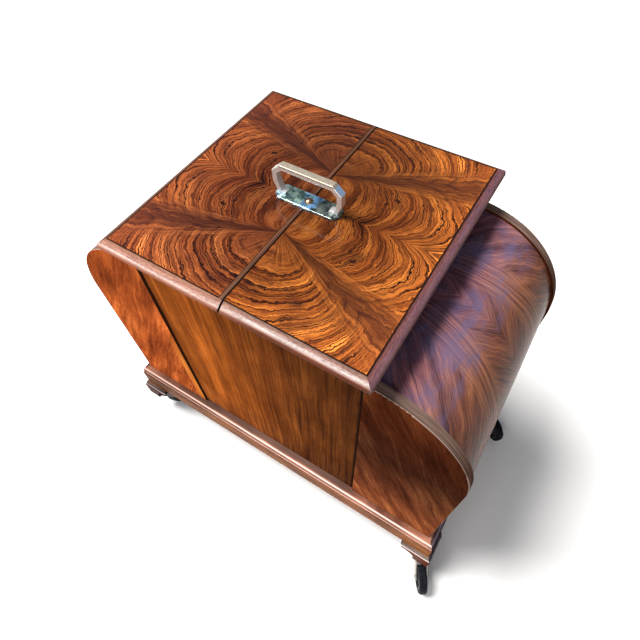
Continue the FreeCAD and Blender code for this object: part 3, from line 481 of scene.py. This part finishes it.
def moulding_wood():
    """Waxed edge round the lid: mottled tones over its bow with a painted highlight and painted shade, and painted
    shade where it faces the left or the back.
    """
    g = Graph("moulding_wood")
    face_x, face_y = g.split(g.facing)[:2]
    out_x = g.plus(g.absolute(g.x), -FIELD_X)
    out_y = g.plus(g.absolute(g.plus(g.y, -LID_Y)), -FIELD_Y)
    on_side = g.math("GREATER_THAN", out_x, out_y)
    along = g.mix(on_side, g.x, g.y)
    under = g.math("MAXIMUM", g.plus(g.times(g.z, -1.0), NOSE_Z), 0.0)
    across = g.plus(g.math("MAXIMUM", out_x, out_y), g.times(under, 0.5))
    grain = g.noise(g.flat((along, 22.0), (across, 330.0)), 1.0, 4.0, 0.65)
    fleck = g.noise(g.flat((along, 150.0), (across, 420.0), 7.0), 1.0, 3.0, 0.7)
    mottle = g.plus(g.times(grain, 0.5), g.times(fleck, 0.5), -0.5)
    width = g.plus(g.times(across, 1 / BOW_RUN), g.times(mottle, 0.16))
    seen = g.blend(on_side, moulding_front(g, width), moulding_flank(g, width, along, across))
    # speckled tones that follow the grain's mottle
    shade = g.ramp(
        g.plus(mottle, 0.5),
        [(0.38, (0.55, 0.47, 0.45)), (0.5, (0.95, 0.9, 0.87)), (0.62, (1.26, 1.2, 1.16))],
    )
    # painted shade where the moulding faces the left or the back
    far = g.ramp(grain, [(0.3, (0.05, 0.018, 0.01)), (0.7, (0.14, 0.05, 0.025))])
    away = g.span(g.plus(face_x, g.times(face_y, -1.0)), 0.0, -0.2)
    whole = g.blend(away, g.tint(seen, shade), far)
    # painted shade of the slot between the leaves, on the moulding's ends
    gap_shade = g.below(g.absolute(g.x), SLOT_X + GAP_SHADE, 0.0004)
    colour = g.blend(gap_shade, whole, (0.008, 0.004, 0.003))
    g.bump(grain, 0.1, RELIEF)
    return g.finish(colour, g.uneven(grain, 0.35, 0.5), specular=0.05)


def seam_wood():
    """Brown lipping along the seam, black at both edges: painted shade of the gap between the leaves on its right,
    a thin dark line on its left.
    """
    g = Graph("seam_wood")
    grain = g.noise(g.scaled(420.0, 9.0, 300.0), 1.0, 4.0, 0.6)
    wood = g.ramp(
        grain,
        [(0.25, (0.035, 0.014, 0.008)), (0.5, (0.1, 0.038, 0.019)), (0.75, (0.18, 0.075, 0.036))],
    )
    off = g.absolute(g.plus(g.x, -SEAM_X))
    # black edges: painted shade of the leaves' gap on the right, a thin dark line on the left
    colour = g.blend(g.above(off, SEAM_EDGE, SOFT), wood, (0.012, 0.006, 0.004))
    g.bump(grain, 0.1, FINE_RELIEF)
    return g.finish(colour, g.uneven(grain, 0.25, 0.38), specular=0.25)


def panel_slot_shade(g):
    """Painted shade of the slots beside the front panel: on its narrow sides, and along the right edge of its
    face.
    """
    edge_on = g.span(g.absolute(g.split(g.facing)[0]), 0.5, 0.9)
    sides = g.times(edge_on, g.below(g.y, front_high.y, 0.005))
    at_front = g.below(g.y, front_low.y + SLOT_SHADE_DEPTH, 0.002)
    strip = g.times(g.above(g.x, front_high.x - SLOT_SHADE_WIDTH, 0.001), at_front)
    return g.math("MAXIMUM", sides, strip)


def panel_veneer():
    """Upright grain in short fine streaks over soft clouds, smoky to the right, with painted light brightest on
    the left, a painted bluish reflection low down and painted shade in the slots.
    """
    g = Graph("panel_veneer")
    sideways = g.plus(g.x, g.times(g.y, 0.8))
    drift = g.waver(g.scaled(4.0, 4.0, 1.6), 1.0, 3.0)
    up = g.plus(g.z, -LEAN_Z)
    ring = g.plus(g.times(sideways, 6.0), g.times(drift, 0.22), g.times(up, up, 0.12))
    stops = [
        (0.3, (0.085, 0.026, 0.009)),
        (0.45, (0.135, 0.041, 0.012)),
        (0.55, (0.185, 0.058, 0.015)),
        (0.7, (0.3, 0.1, 0.023)),
    ]
    streaks, fibre = figured(g, ring, g.times(g.z, 4.5), stops, (0.04, 0.013, 0.006), 42.0, 0.25, 0.3)
    cloud = g.noise(g.flat((sideways, 14.0), (g.z, 6.0)), 1.0, 4.0, 0.6)
    mottled = g.tint(streaks, g.ramp(cloud, [(0.3, (0.6, 0.57, 0.6)), (0.7, (1.42, 1.42, 1.35))]))
    smoke = g.noise(g.flat((ring, 20.0), (g.z, 2.6), 2.0), 1.0, 5.0, 0.7)
    smoky = g.times(g.span(smoke, 0.48, 0.66), g.span(g.x, -0.2, 0.12, 0.3, 0.85))
    clouded = g.blend(smoky, mottled, (0.035, 0.012, 0.007))
    # painted light across the panel: brightest on the left, dimmer to the right
    painted_side_light = g.ramp(
        g.span(g.x, -0.22, 0.2, smooth=False),
        [
            (0.0, (1.35, 1.12, 0.78)),
            (0.2, (1.75, 1.42, 0.86)),
            (0.6, (0.84, 0.74, 0.62)),
            (1.0, (0.52, 0.52, 0.55)),
        ],
    )
    # painted bluish reflection low on the panel
    painted_low_reflection = g.tint(g.tint(clouded, painted_side_light), (0.85, 0.95, 1.4), g.span(g.z, 0.4, 0.25, 0.0, 0.5))
    whole = g.blend(panel_slot_shade(g), painted_low_reflection, (0.016, 0.007, 0.004))
    g.bump(fibre, 0.06, RELIEF)
    return g.finish(whole, g.uneven(fibre, 0.4, 0.55), specular=0.0)


def wing_board(g, past):
    """The boards' red flame veneer, brightened by painted light on the left, with painted light and shade by
    height on the right, and its fibre.
    """
    drift = g.waver(g.vector(past, g.y, g.z), 6.0, 3.0)
    ring = g.plus(g.times(past, 4.6), g.times(g.z, 1.9), g.times(drift, 0.2))
    along = g.plus(g.times(past, -5.0), g.times(g.z, 8.0))
    stops = [
        (0.34, (0.08, 0.02, 0.008)),
        (0.45, (0.145, 0.038, 0.014)),
        (0.55, (0.215, 0.06, 0.02)),
        (0.68, (0.36, 0.12, 0.04)),
    ]
    streaks, fibre = figured(g, ring, along, stops, (0.055, 0.014, 0.007), 36.0, 0.25, 0.2)
    cloud = g.noise(g.vector(g.times(ring, 5.0), g.y, g.times(along, 0.8)), 1.0, 4.0, 0.6)
    clouded = g.tint(streaks, g.ramp(cloud, [(0.3, (0.68, 0.66, 0.7)), (0.7, (1.35, 1.35, 1.3))]))
    # painted light and shade by height on the right wing: lighter low, dark and bluish above the middle
    shade = g.ramp(
        g.span(g.z, 0.23, 0.78, smooth=False),
        [
            (0.0, (1.15, 1.15, 1.2)),
            (0.3, (0.6, 0.64, 0.74)),
            (0.6, (0.17, 0.19, 0.28)),
            (1.0, (0.45, 0.4, 0.38)),
        ],
    )
    # painted light: the left wing lit brighter and more orange
    left = g.tint(clouded, (1.58, 1.22, 0.84))
    return g.blend(g.above(g.x, 0.0, 0.1), left, g.tint(clouded, shade)), fibre


def wing_lipping(g, past, board):
    """The board, with a bright lipping beside the centre box, low on the left wing's front."""
    grain = g.noise(g.vector(g.times(past, 420.0), g.y, g.times(g.z, 9.0)), 1.0, 3.0)
    lip = g.ramp(grain, [(0.35, (0.3, 0.078, 0.014)), (0.65, (0.56, 0.18, 0.034))])
    front_left = g.times(g.math("LESS_THAN", g.x, 0.0), g.math("LESS_THAN", g.y, 0.0))
    lipped = g.times(g.below(past, LIPPING, 0.001), g.below(g.z, 0.5, 0.08), front_left)
    return g.blend(lipped, board, lip)


def wing_rim(g, past, upright):
    """The boards' edges: brown, with a painted sheen over the bend, a pale painted highlight where they round off
    and painted shade beside the slot.
    """
    grain = g.noise(g.scaled(12.0, 420.0, 12.0), 1.0, 3.0)
    brown = g.ramp(grain, [(0.35, (0.06, 0.03, 0.02)), (0.65, (0.18, 0.1, 0.07))])
    # painted sheen near the top of the rim
    sheen = g.ramp(grain, [(0.35, (0.09, 0.055, 0.045)), (0.65, (0.24, 0.155, 0.125))])
    rim = g.blend(g.span(g.z, 0.66, 0.76), brown, sheen)
    # painted highlight on the rounded arrises
    arris = g.times(g.span(upright, 0.2, 0.45), g.span(upright, 0.9, 0.7))
    lined = g.blend(g.times(arris, 0.7), rim, (0.5, 0.38, 0.32))
    return g.blend(g.below(past, RIM_SLOT_SHADE, 0.001), lined, (0.04, 0.016, 0.008))


def wing_veneer():
    """Veneer on the faces of the wings' boards, plain wood on their edges."""
    g = Graph("wing_veneer")
    past = g.plus(g.absolute(g.x), -WING_X)
    upright = g.absolute(g.split(g.facing)[1])
    board, fibre = wing_board(g, past)
    face = wing_lipping(g, past, board)
    whole = g.blend(g.span(upright, 0.5, 0.9), wing_rim(g, past, upright), face)
    g.bump(fibre, 0.06, RELIEF)
    return g.finish(whole, g.uneven(fibre, 0.4, 0.55), specular=0.0)


def curve_light(g, height):
    """Painted light on the curved panels from low to high: warm, then bright, then a painted mauve sky reflection,
    then painted shade of the lid, dark and blue, under it.
    """
    return g.ramp(
        height,
        [
            (0.0, (0.74, 0.6, 0.36)),
            (0.35, (0.95, 0.76, 0.46)),
            (0.55, (1.05, 1.0, 0.95)),
            (0.74, (1.25, 1.12, 1.3)),
            (0.8, (0.6, 0.55, 0.75)),
            (1.0, (0.5, 0.42, 0.62)),
        ],
    )


def curve_veneer():
    """Dark veneer bent over the wings, matched about the middle, with a feather on each side of it, under painted
    light by height and patches of painted sky reflection.
    """
    g = Graph("curve_veneer")
    past = g.plus(g.absolute(g.x), -WING_X)
    rise = g.plus(g.z, -BEND_Z)
    angle = g.math("ARCTAN2", rise, g.math("MAXIMUM", past, 0.001))
    run = g.plus(g.times(g.math("MAXIMUM", angle, 0.0), CURVE_RADIUS), g.math("MINIMUM", rise, 0.0))
    depth = g.absolute(g.plus(g.y, -MATCH_Y))
    spread = g.flat((depth, 5.0), (run, 5.0))
    drift = g.waver(spread, 1.4, 3.0)
    ripple = g.waver(spread, 7.0, 2.0)
    off = g.plus(depth, g.times(run, 0.2), -FEATHER_Y, g.times(drift, 0.02))
    aside = g.absolute(off)
    waves = g.plus(g.times(drift, 0.22), g.times(ripple, 0.03))
    ring = g.plus(g.times(run, 3.4), g.times(aside, 4.0), waves)
    stops = [
        (0.36, (0.07, 0.034, 0.042)),
        (0.46, (0.17, 0.078, 0.085)),
        (0.54, (0.265, 0.12, 0.118)),
        (0.64, (0.43, 0.2, 0.16)),
    ]
    lined, fibre = figured(g, ring, g.times(depth, 14.0), stops, (0.03, 0.017, 0.026), 48.0, 0.2, 0.45)
    feather = g.ramp(
        g.noise(g.flat((off, 210.0), (run, 5.0)), 1.0, 4.0, 0.65),
        [(0.36, (0.09, 0.045, 0.055)), (0.5, (0.24, 0.11, 0.11)), (0.64, (0.52, 0.27, 0.2))],
    )
    figure = g.blend(g.span(aside, 0.042, 0.015, 0.0, 0.85), lined, feather)
    height = g.span(g.plus(run, g.times(drift, 0.04)), 0.08, 0.29, smooth=False)
    # patches of painted bluish sky reflection, high on the panel
    cloud = g.noise(g.flat((depth, 16.0), (run, 30.0), g.math("SIGN", g.y)), 1.0, 4.0, 0.6)
    patches = g.span(g.plus(cloud, g.times(fibre, 0.25)), 0.54, 0.78, 0.0, 0.6)
    painted_sky_patches = g.times(patches, g.span(height, 0.28, 0.5))
    colour = g.blend(painted_sky_patches, g.tint(figure, curve_light(g, height)), (0.12, 0.11, 0.22))
    g.bump(fibre, 0.05, RELIEF)
    return g.finish(colour, g.uneven(fibre, 0.24, 0.36), specular=0.03, coat=0.08, coat_roughness=0.12)


def plinth_board(g, mixed, face_z):
    """The top board: a dark ledge, lit at its ends with painted light, a pink nosing with a painted highlight on
    its round, painted shade in the quirk at the bead.
    """
    nosing = g.ramp(
        mixed,
        [(0.38, (0.13, 0.048, 0.03)), (0.5, (0.31, 0.125, 0.078)), (0.62, (0.52, 0.25, 0.165))],
    )
    ledge = g.ramp(mixed, [(0.3, (0.08, 0.042, 0.032)), (0.7, (0.19, 0.1, 0.075))])
    # painted light towards the ledge's ends
    ends = g.math("MAXIMUM", g.span(g.x, 0.18, 0.3), g.span(g.x, -0.2, -0.36, 0.0, 0.7))
    level = g.blend(g.span(face_z, 0.9, 0.98), nosing, g.blend(ends, ledge, nosing))
    # painted highlight on the nosing's round
    painted_highlight_mask = g.times(g.span(face_z, 0.42, 0.58), g.span(face_z, 0.86, 0.72))
    with_painted_highlight = g.blend(g.times(painted_highlight_mask, 0.8), level, (0.95, 0.78, 0.72))
    # painted shade in the quirk
    over = g.span(g.z, QUIRK_Z + 0.0035, QUIRK_Z + 0.0018)
    under = g.span(g.z, QUIRK_Z - 0.0028, QUIRK_Z - 0.0012)
    return g.blend(g.times(over, under, g.span(face_z, 0.3, 0.1)), with_painted_highlight, (0.05, 0.014, 0.008))


def plinth_foot(g, mixed):
    """A foot from the top down: a grey slab of painted reflection, a dark line of painted shade, a pale band of
    painted highlight, a dark red bracket. Dimmer on the left.
    """
    slab = g.ramp(mixed, [(0.38, (0.06, 0.055, 0.05)), (0.62, (0.22, 0.2, 0.185))])
    band = g.ramp(mixed, [(0.3, (0.6, 0.42, 0.38)), (0.7, (0.85, 0.7, 0.66))])
    bracket = g.ramp(
        mixed,
        [(0.3, (0.035, 0.01, 0.006)), (0.5, (0.09, 0.025, 0.014)), (0.7, (0.16, 0.048, 0.027))],
    )
    # painted shade in the line under the slab, painted highlight on the band below it
    lined = g.blend(g.below(g.z, LINE_Z, 0.0004), slab, (0.008, 0.007, 0.007))
    banded = g.blend(g.below(g.z, SLAB_Z, SOFT), lined, band)
    foot = g.blend(g.below(g.z, BAND_Z, SOFT), banded, bracket)
    return g.tint(foot, (0.42, 0.4, 0.42), g.span(g.x, -0.3, -0.38))


def plinth_wood():
    """Waxed wood by height: board, orange rails and feet, dimmer to the left, with painted shade, dark and cool,
    on the sides.
    """
    g = Graph("plinth_wood")
    face_x, face_y, face_z = g.split(g.facing)
    grain = g.noise(g.scaled(9.0, 9.0, 260.0), 1.0, 4.0, 0.6)
    cloud = g.noise(g.scaled(9.0, 9.0, 20.0), 1.0, 3.0)
    mixed = g.plus(g.times(grain, 0.6), g.times(cloud, 0.4))
    rail = g.ramp(
        mixed,
        [(0.38, (0.06, 0.018, 0.006)), (0.5, (0.165, 0.053, 0.014)), (0.62, (0.33, 0.115, 0.03))],
    )
    upper = g.blend(g.above(g.z, BOARD_Z, SOFT), rail, plinth_board(g, mixed, face_z))
    dimmed = g.tint(upper, (0.62, 0.58, 0.56), g.span(g.x, 0.1, -0.4))
    whole = g.blend(g.above(g.z, RAIL_Z, SOFT), plinth_foot(g, mixed), dimmed)
    # painted shade on the sides, dark and cool
    on_side = g.math("GREATER_THAN", g.absolute(face_x), g.absolute(face_y))
    cool = g.tint(whole, (0.16, 0.17, 0.3), g.times(on_side, 0.9))
    g.bump(grain, 0.08, RELIEF)
    return g.finish(cool, g.uneven(grain, 0.4, 0.55), specular=0.02)


def inner_wood():
    """Plain oiled wood, its grain upright on standing boards and along the width on lying ones."""
    g = Graph("inner_wood")
    lying = g.span(g.absolute(g.split(g.facing)[2]), 0.6, 0.8)
    wander = g.times(g.noise(g.place, 5.0, 2.0), 0.05)
    width = g.plus(g.x, wander)
    depth = g.plus(g.y, wander)
    upright = g.vector(g.times(width, 95.0), g.times(depth, 95.0), g.times(g.z, 4.0))
    level = g.vector(g.times(g.x, 4.0), g.times(depth, 95.0), g.times(g.z, 95.0))
    grain = g.mix(lying, g.noise(upright, 1.0, 4.0, 0.6), g.noise(level, 1.0, 4.0, 0.6))
    colour = g.ramp(
        grain,
        [(0.3, (0.2, 0.095, 0.035)), (0.5, (0.34, 0.185, 0.078)), (0.72, (0.46, 0.28, 0.13))],
    )
    g.bump(grain, 0.1, RELIEF)
    return g.finish(colour, g.uneven(grain, 0.38, 0.5))


def chrome_plate(g):
    """The handle's plate: painted reflections in cloudy tones of sky from left to right, with light and dark
    spots.
    """
    cloud = g.waver(g.place, 60.0, 3.0, 0.6, 0.6)
    # painted reflections of sky and greenery
    sky = g.ramp(
        g.plus(g.times(g.x, 7.0), 0.5, g.times(cloud, 0.5)),
        [
            (0.12, (0.34, 0.5, 0.62)),
            (0.36, (0.42, 0.62, 0.5)),
            (0.5, (0.22, 0.5, 0.95)),
            (0.62, (0.16, 0.2, 0.19)),
            (0.9, (0.2, 0.25, 0.24)),
        ],
    )
    spots = g.noise(g.place, 95.0, 2.0, 0.5, 0.4)
    dapple = g.ramp(spots, [(0.38, (0.24, 0.28, 0.3)), (0.5, (0.95, 0.95, 0.95)), (0.62, (1.55, 1.5, 1.4))])
    return g.tint(sky, dapple)


def chrome_grip(g, hatch):
    """The grip: light sides, feet lit by a painted highlight, a painted reflection of blue sky on the right
    shoulder, a dark hatched top.
    """
    face_x, _, face_z = g.split(g.facing)
    side = g.ramp(hatch, [(0.35, (0.68, 0.65, 0.62)), (0.65, (0.95, 0.92, 0.89))])
    top = g.ramp(hatch, [(0.35, (0.32, 0.27, 0.2)), (0.65, (0.6, 0.53, 0.43))])
    raised = g.above(g.z, PLATE_Z + SHOULDER_UP, 0.0025)
    # painted reflection of blue sky on the right shoulder
    shoulder = g.times(g.span(face_x, 0.45, 0.6), g.span(face_z, 0.4, 0.55), raised)
    skyward = g.blend(g.times(shoulder, 0.8), side, (0.3, 0.52, 0.85))
    # painted highlight on the feet
    feet = g.times(g.below(g.z, PLATE_Z + FEET_UP, 0.003), 0.6)
    footed = g.blend(feet, skyward, (0.95, 0.95, 0.97))
    return g.blend(g.above(g.z, GRIP_Z - GRIP_EDGE, 0.001), footed, top)


def chrome_metal():
    """Plating of the handle with painted reflections, smooth on the plate and hatched on the grip."""
    g = Graph("chrome_metal")
    hatch = g.noise(g.scaled(500.0, 900.0, 500.0), 1.0, 2.0)
    raised = g.above(g.z, PLATE_Z + SOFT, 0.0003)
    colour = g.blend(raised, chrome_plate(g), chrome_grip(g, hatch))
    rough = g.span(g.plus(raised, g.times(hatch, 0.3)), 0.1, 1.2, 0.1, 0.42)
    g.bump(g.times(hatch, raised), 0.2, FINE_RELIEF)
    return g.finish(colour, rough, metallic=0.7)


def steel_metal():
    """Bright worn steel, darkened by painted shade on the castors at the left, coppery on the handle's screw."""
    g = Graph("steel_metal")
    wear = g.noise(g.place, 90.0, 4.0, 0.6)
    bright = g.ramp(wear, [(0.3, (0.2, 0.17, 0.15)), (0.55, (0.45, 0.42, 0.39)), (0.75, (0.62, 0.6, 0.57))])
    # painted shade on the castors at the left, which stand in the plinth's shadow
    painted_shade_left = g.times(g.below(g.x, 0.0, 0.1), g.below(g.z, 0.25, 0.05))
    with_painted_shade_left = g.tint(bright, (0.06, 0.06, 0.065), painted_shade_left)
    coppery = g.tint(bright, (0.95, 0.62, 0.4))
    colour = g.blend(g.above(g.z, PLATE_Z - COPPER_UNDER, 0.00025), with_painted_shade_left, coppery)
    g.bump(wear, 0.06, FINE_RELIEF)
    return g.finish(colour, g.uneven(wear, 0.25, 0.45), metallic=1.0)


def worn(name, scale, stops, relief, rough, **constants):
    """A finish whose colour, relief and roughness follow one cloud of wear."""
    g = Graph(name)
    wear = g.noise(g.place, scale, 4.0, 0.6)
    g.bump(wear, *relief)
    return g.finish(g.ramp(wear, stops), g.uneven(wear, *rough), **constants)


def brass_metal():
    """Tarnished brass."""
    stops = [(0.3, (0.3, 0.19, 0.07)), (0.55, (0.58, 0.42, 0.18)), (0.75, (0.75, 0.6, 0.32))]
    return worn("brass_metal", 70.0, stops, (0.06, FINE_RELIEF), (0.22, 0.42), metallic=1.0)


def hub_paint():
    """Black paint with paler wear."""
    stops = [(0.35, (0.005, 0.005, 0.007)), (0.6, (0.014, 0.015, 0.02)), (0.8, (0.06, 0.055, 0.05))]
    return worn("hub_paint", 140.0, stops, (0.1, FINE_RELIEF), (0.3, 0.5), specular=0.12)


def tyre_rubber():
    """Dusty black rubber."""
    stops = [(0.3, (0.004, 0.004, 0.006)), (0.6, (0.01, 0.011, 0.016)), (0.8, (0.035, 0.036, 0.045))]
    return worn("tyre_rubber", 120.0, stops, (0.15, RELIEF), (0.4, 0.65), specular=0.05)


FINISHES = {
    make.__name__: make()
    for make in (
        lid_veneer,
        moulding_wood,
        seam_wood,
        panel_veneer,
        wing_veneer,
        curve_veneer,
        plinth_wood,
        inner_wood,
        chrome_metal,
        brass_metal,
        steel_metal,
        hub_paint,
        tyre_rubber,
    )
}


def dress_solids():
    """Give every CAD solid the finish of its material slot."""
    for part in frame["record"]["subparts"]:
        mesh = nodes[part["node"]].data
        mesh.materials.clear()
        mesh.materials.append(FINISHES[part["material_slot"]])


def add_head(mesh, place, axes):
    """One countersunk head: two halves with a sloping rim, and the floor of the slot between them."""
    def vertex(u, v, w):
        return mesh.verts.new(place + axes[0] * u + axes[1] * v + axes[2] * w)

    def half_ring(radius, side, w):
        start = math.asin(SLOT_HALF / radius)
        turns = [start + (math.pi - 2 * start) * step / HEAD_STEPS for step in range(HEAD_STEPS + 1)]
        return [vertex(radius * math.cos(turn), side * radius * math.sin(turn), w) for turn in turns]

    reach = math.sqrt(HEAD_TOP**2 - SLOT_HALF**2)
    slot = []
    for side in (1, -1):
        rim = half_ring(HEAD_RADIUS, side, 0.0)
        top = half_ring(HEAD_TOP, side, HEAD_PROUD)
        for step in range(HEAD_STEPS):
            mesh.faces.new((rim[step], rim[step + 1], top[step + 1], top[step]))
        mesh.faces.new(top)
        foot = [vertex(end, side * SLOT_HALF, SLOT_FLOOR) for end in (reach, -reach)]
        mesh.faces.new((top[0], top[-1], foot[1], foot[0]))
        slot.append(foot)
    mesh.faces.new((slot[0][0], slot[0][1], slot[1][1], slot[1][0]))


def screw_heads(name, body, places, out):
    """Slotted screws on the leaves of a body's hinges, on faces that look along out."""
    mesh = bmesh.new()
    out = Vector(out)
    across = out.orthogonal().normalized()
    for number, place in enumerate(places):
        first = Matrix.Rotation(FIRST_TURN + NEXT_TURN * number, 3, out) @ across
        add_head(mesh, Vector(place), (first, out.cross(first), out))
    bmesh.ops.recalc_face_normals(mesh, faces=mesh.faces)
    data = bpy.data.meshes.new(name)
    mesh.to_mesh(data)
    mesh.free()
    data.materials.append(FINISHES["brass_metal"])
    piece = bpy.data.objects.new(name, data)
    bpy.context.scene.collection.objects.link(piece)
    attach(piece, body)


def screw_row(low, high):
    """Places of the screws along two hinges whose pins begin at low and end at high."""
    return [middle + step for middle in (low + HINGE_HALF, high - HINGE_HALF) for step in LEAF_SCREWS]


def make_screws():
    """Three screws in each leaf of the wings' hinges, at the back, and of the lid's hinges."""
    heights = screw_row(*(corner.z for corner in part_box("wing_hinge_pins")))
    depths = screw_row(*(corner.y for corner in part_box("lid_hinge_pins")))
    for side, sign in (("left", -1), ("right", 1)):
        pin_x, pin_y, _ = joints[f"{side}_wing_hinge"]["pos_m"]
        places = [(pin_x - sign * LEAF_OFF, pin_y - LEAF_FACE, z) for z in heights]
        screw_heads(f"{side}_wing_frame_screws", "cabinet", places, (0, 1, 0))
        places = [(pin_x + sign * LEAF_OFF, pin_y - LEAF_FACE, z) for z in heights]
        screw_heads(f"{side}_wing_screws", f"{side}_wing", places, (0, 1, 0))
        pin_x, _, pin_z = joints[f"{side}_lid_hinge"]["pos_m"]
        places = [(pin_x - sign * LEAF_FACE, y, pin_z - LEAF_OFF) for y in depths]
        screw_heads(f"{side}_lid_frame_screws", "cabinet", places, (sign, 0, 0))
        places = [(pin_x - sign * LEAF_OFF, y, pin_z + LEAF_FACE) for y in depths]
        screw_heads(f"{side}_lid_screws", f"{side}_lid", places, (0, 0, -1))


def make_floor():
    """A wide pale floor."""
    mesh = bpy.data.meshes.new("floor")
    corners = [(x * FLOOR_REACH, y * FLOOR_REACH, 0) for x, y in ((-1, -1), (1, -1), (1, 1), (-1, 1))]
    mesh.from_pydata(corners, [], [(0, 1, 2, 3)])
    floor = bpy.data.objects.new("floor", mesh)
    bpy.context.scene.collection.objects.link(floor)
    g = Graph("floor")
    cloud = g.noise(g.place, 1.5, 2.0)
    colour = g.ramp(cloud, [(0.3, (0.9, 0.9, 0.9)), (0.7, (0.93, 0.93, 0.93))])
    mesh.materials.append(g.finish(colour, 0.9))


def area_light(name, place, target, size, power, colour=(1.0, 1.0, 1.0)):
    """A rectangular lamp that looks at a target."""
    light = bpy.data.lights.new(name, "AREA")
    light.shape = "RECTANGLE"
    light.size, light.size_y = size
    light.energy = power
    light.color = colour
    lamp = bpy.data.objects.new(name, light)
    lamp.location = place
    lamp.rotation_euler = (Vector(target) - Vector(place)).to_track_quat("-Z", "Y").to_euler()
    bpy.context.scene.collection.objects.link(lamp)


def make_light():
    """A dim even sky, a warm key from the upper left and a weak fill from the front."""
    world = bpy.data.worlds.new("studio")
    world.use_nodes = True
    background = world.node_tree.nodes["Background"]
    background.inputs["Color"].default_value = (0.93, 0.96, 1.0, 1.0)
    background.inputs["Strength"].default_value = 0.2
    bpy.context.scene.world = world
    area_light(
        "key",
        place=(-3.3, -1.15, 7.5),
        target=(0.0, 0.0, 0.3),
        size=(3.0, 3.0),
        power=1210.0,
        colour=(1.0, 0.98, 0.95),
    )
    area_light("fill", place=(0.4, -3.4, 1.8), target=(0.0, 0.0, 0.4), size=(2.4, 1.6), power=62.0)


def make_camera():
    """The photo's camera, from its place, its directions and its focal length in pixels."""
    camera = bpy.data.cameras.new("camera")
    camera.sensor_width = SENSOR
    camera.lens = FOCAL_PIXELS / PHOTO_WIDTH * SENSOR
    eye = bpy.data.objects.new("camera", camera)
    turn = Matrix((VIEW_RIGHT, -Vector(VIEW_DOWN), -Vector(VIEW_AHEAD))).transposed().to_4x4()
    eye.matrix_world = Matrix.Translation(EYE) @ turn
    bpy.context.scene.collection.objects.link(eye)
    bpy.context.scene.camera = eye
    bpy.context.scene.view_settings.view_transform = "Standard"


dress_solids()
make_screws()
make_floor()
make_light()
make_camera()
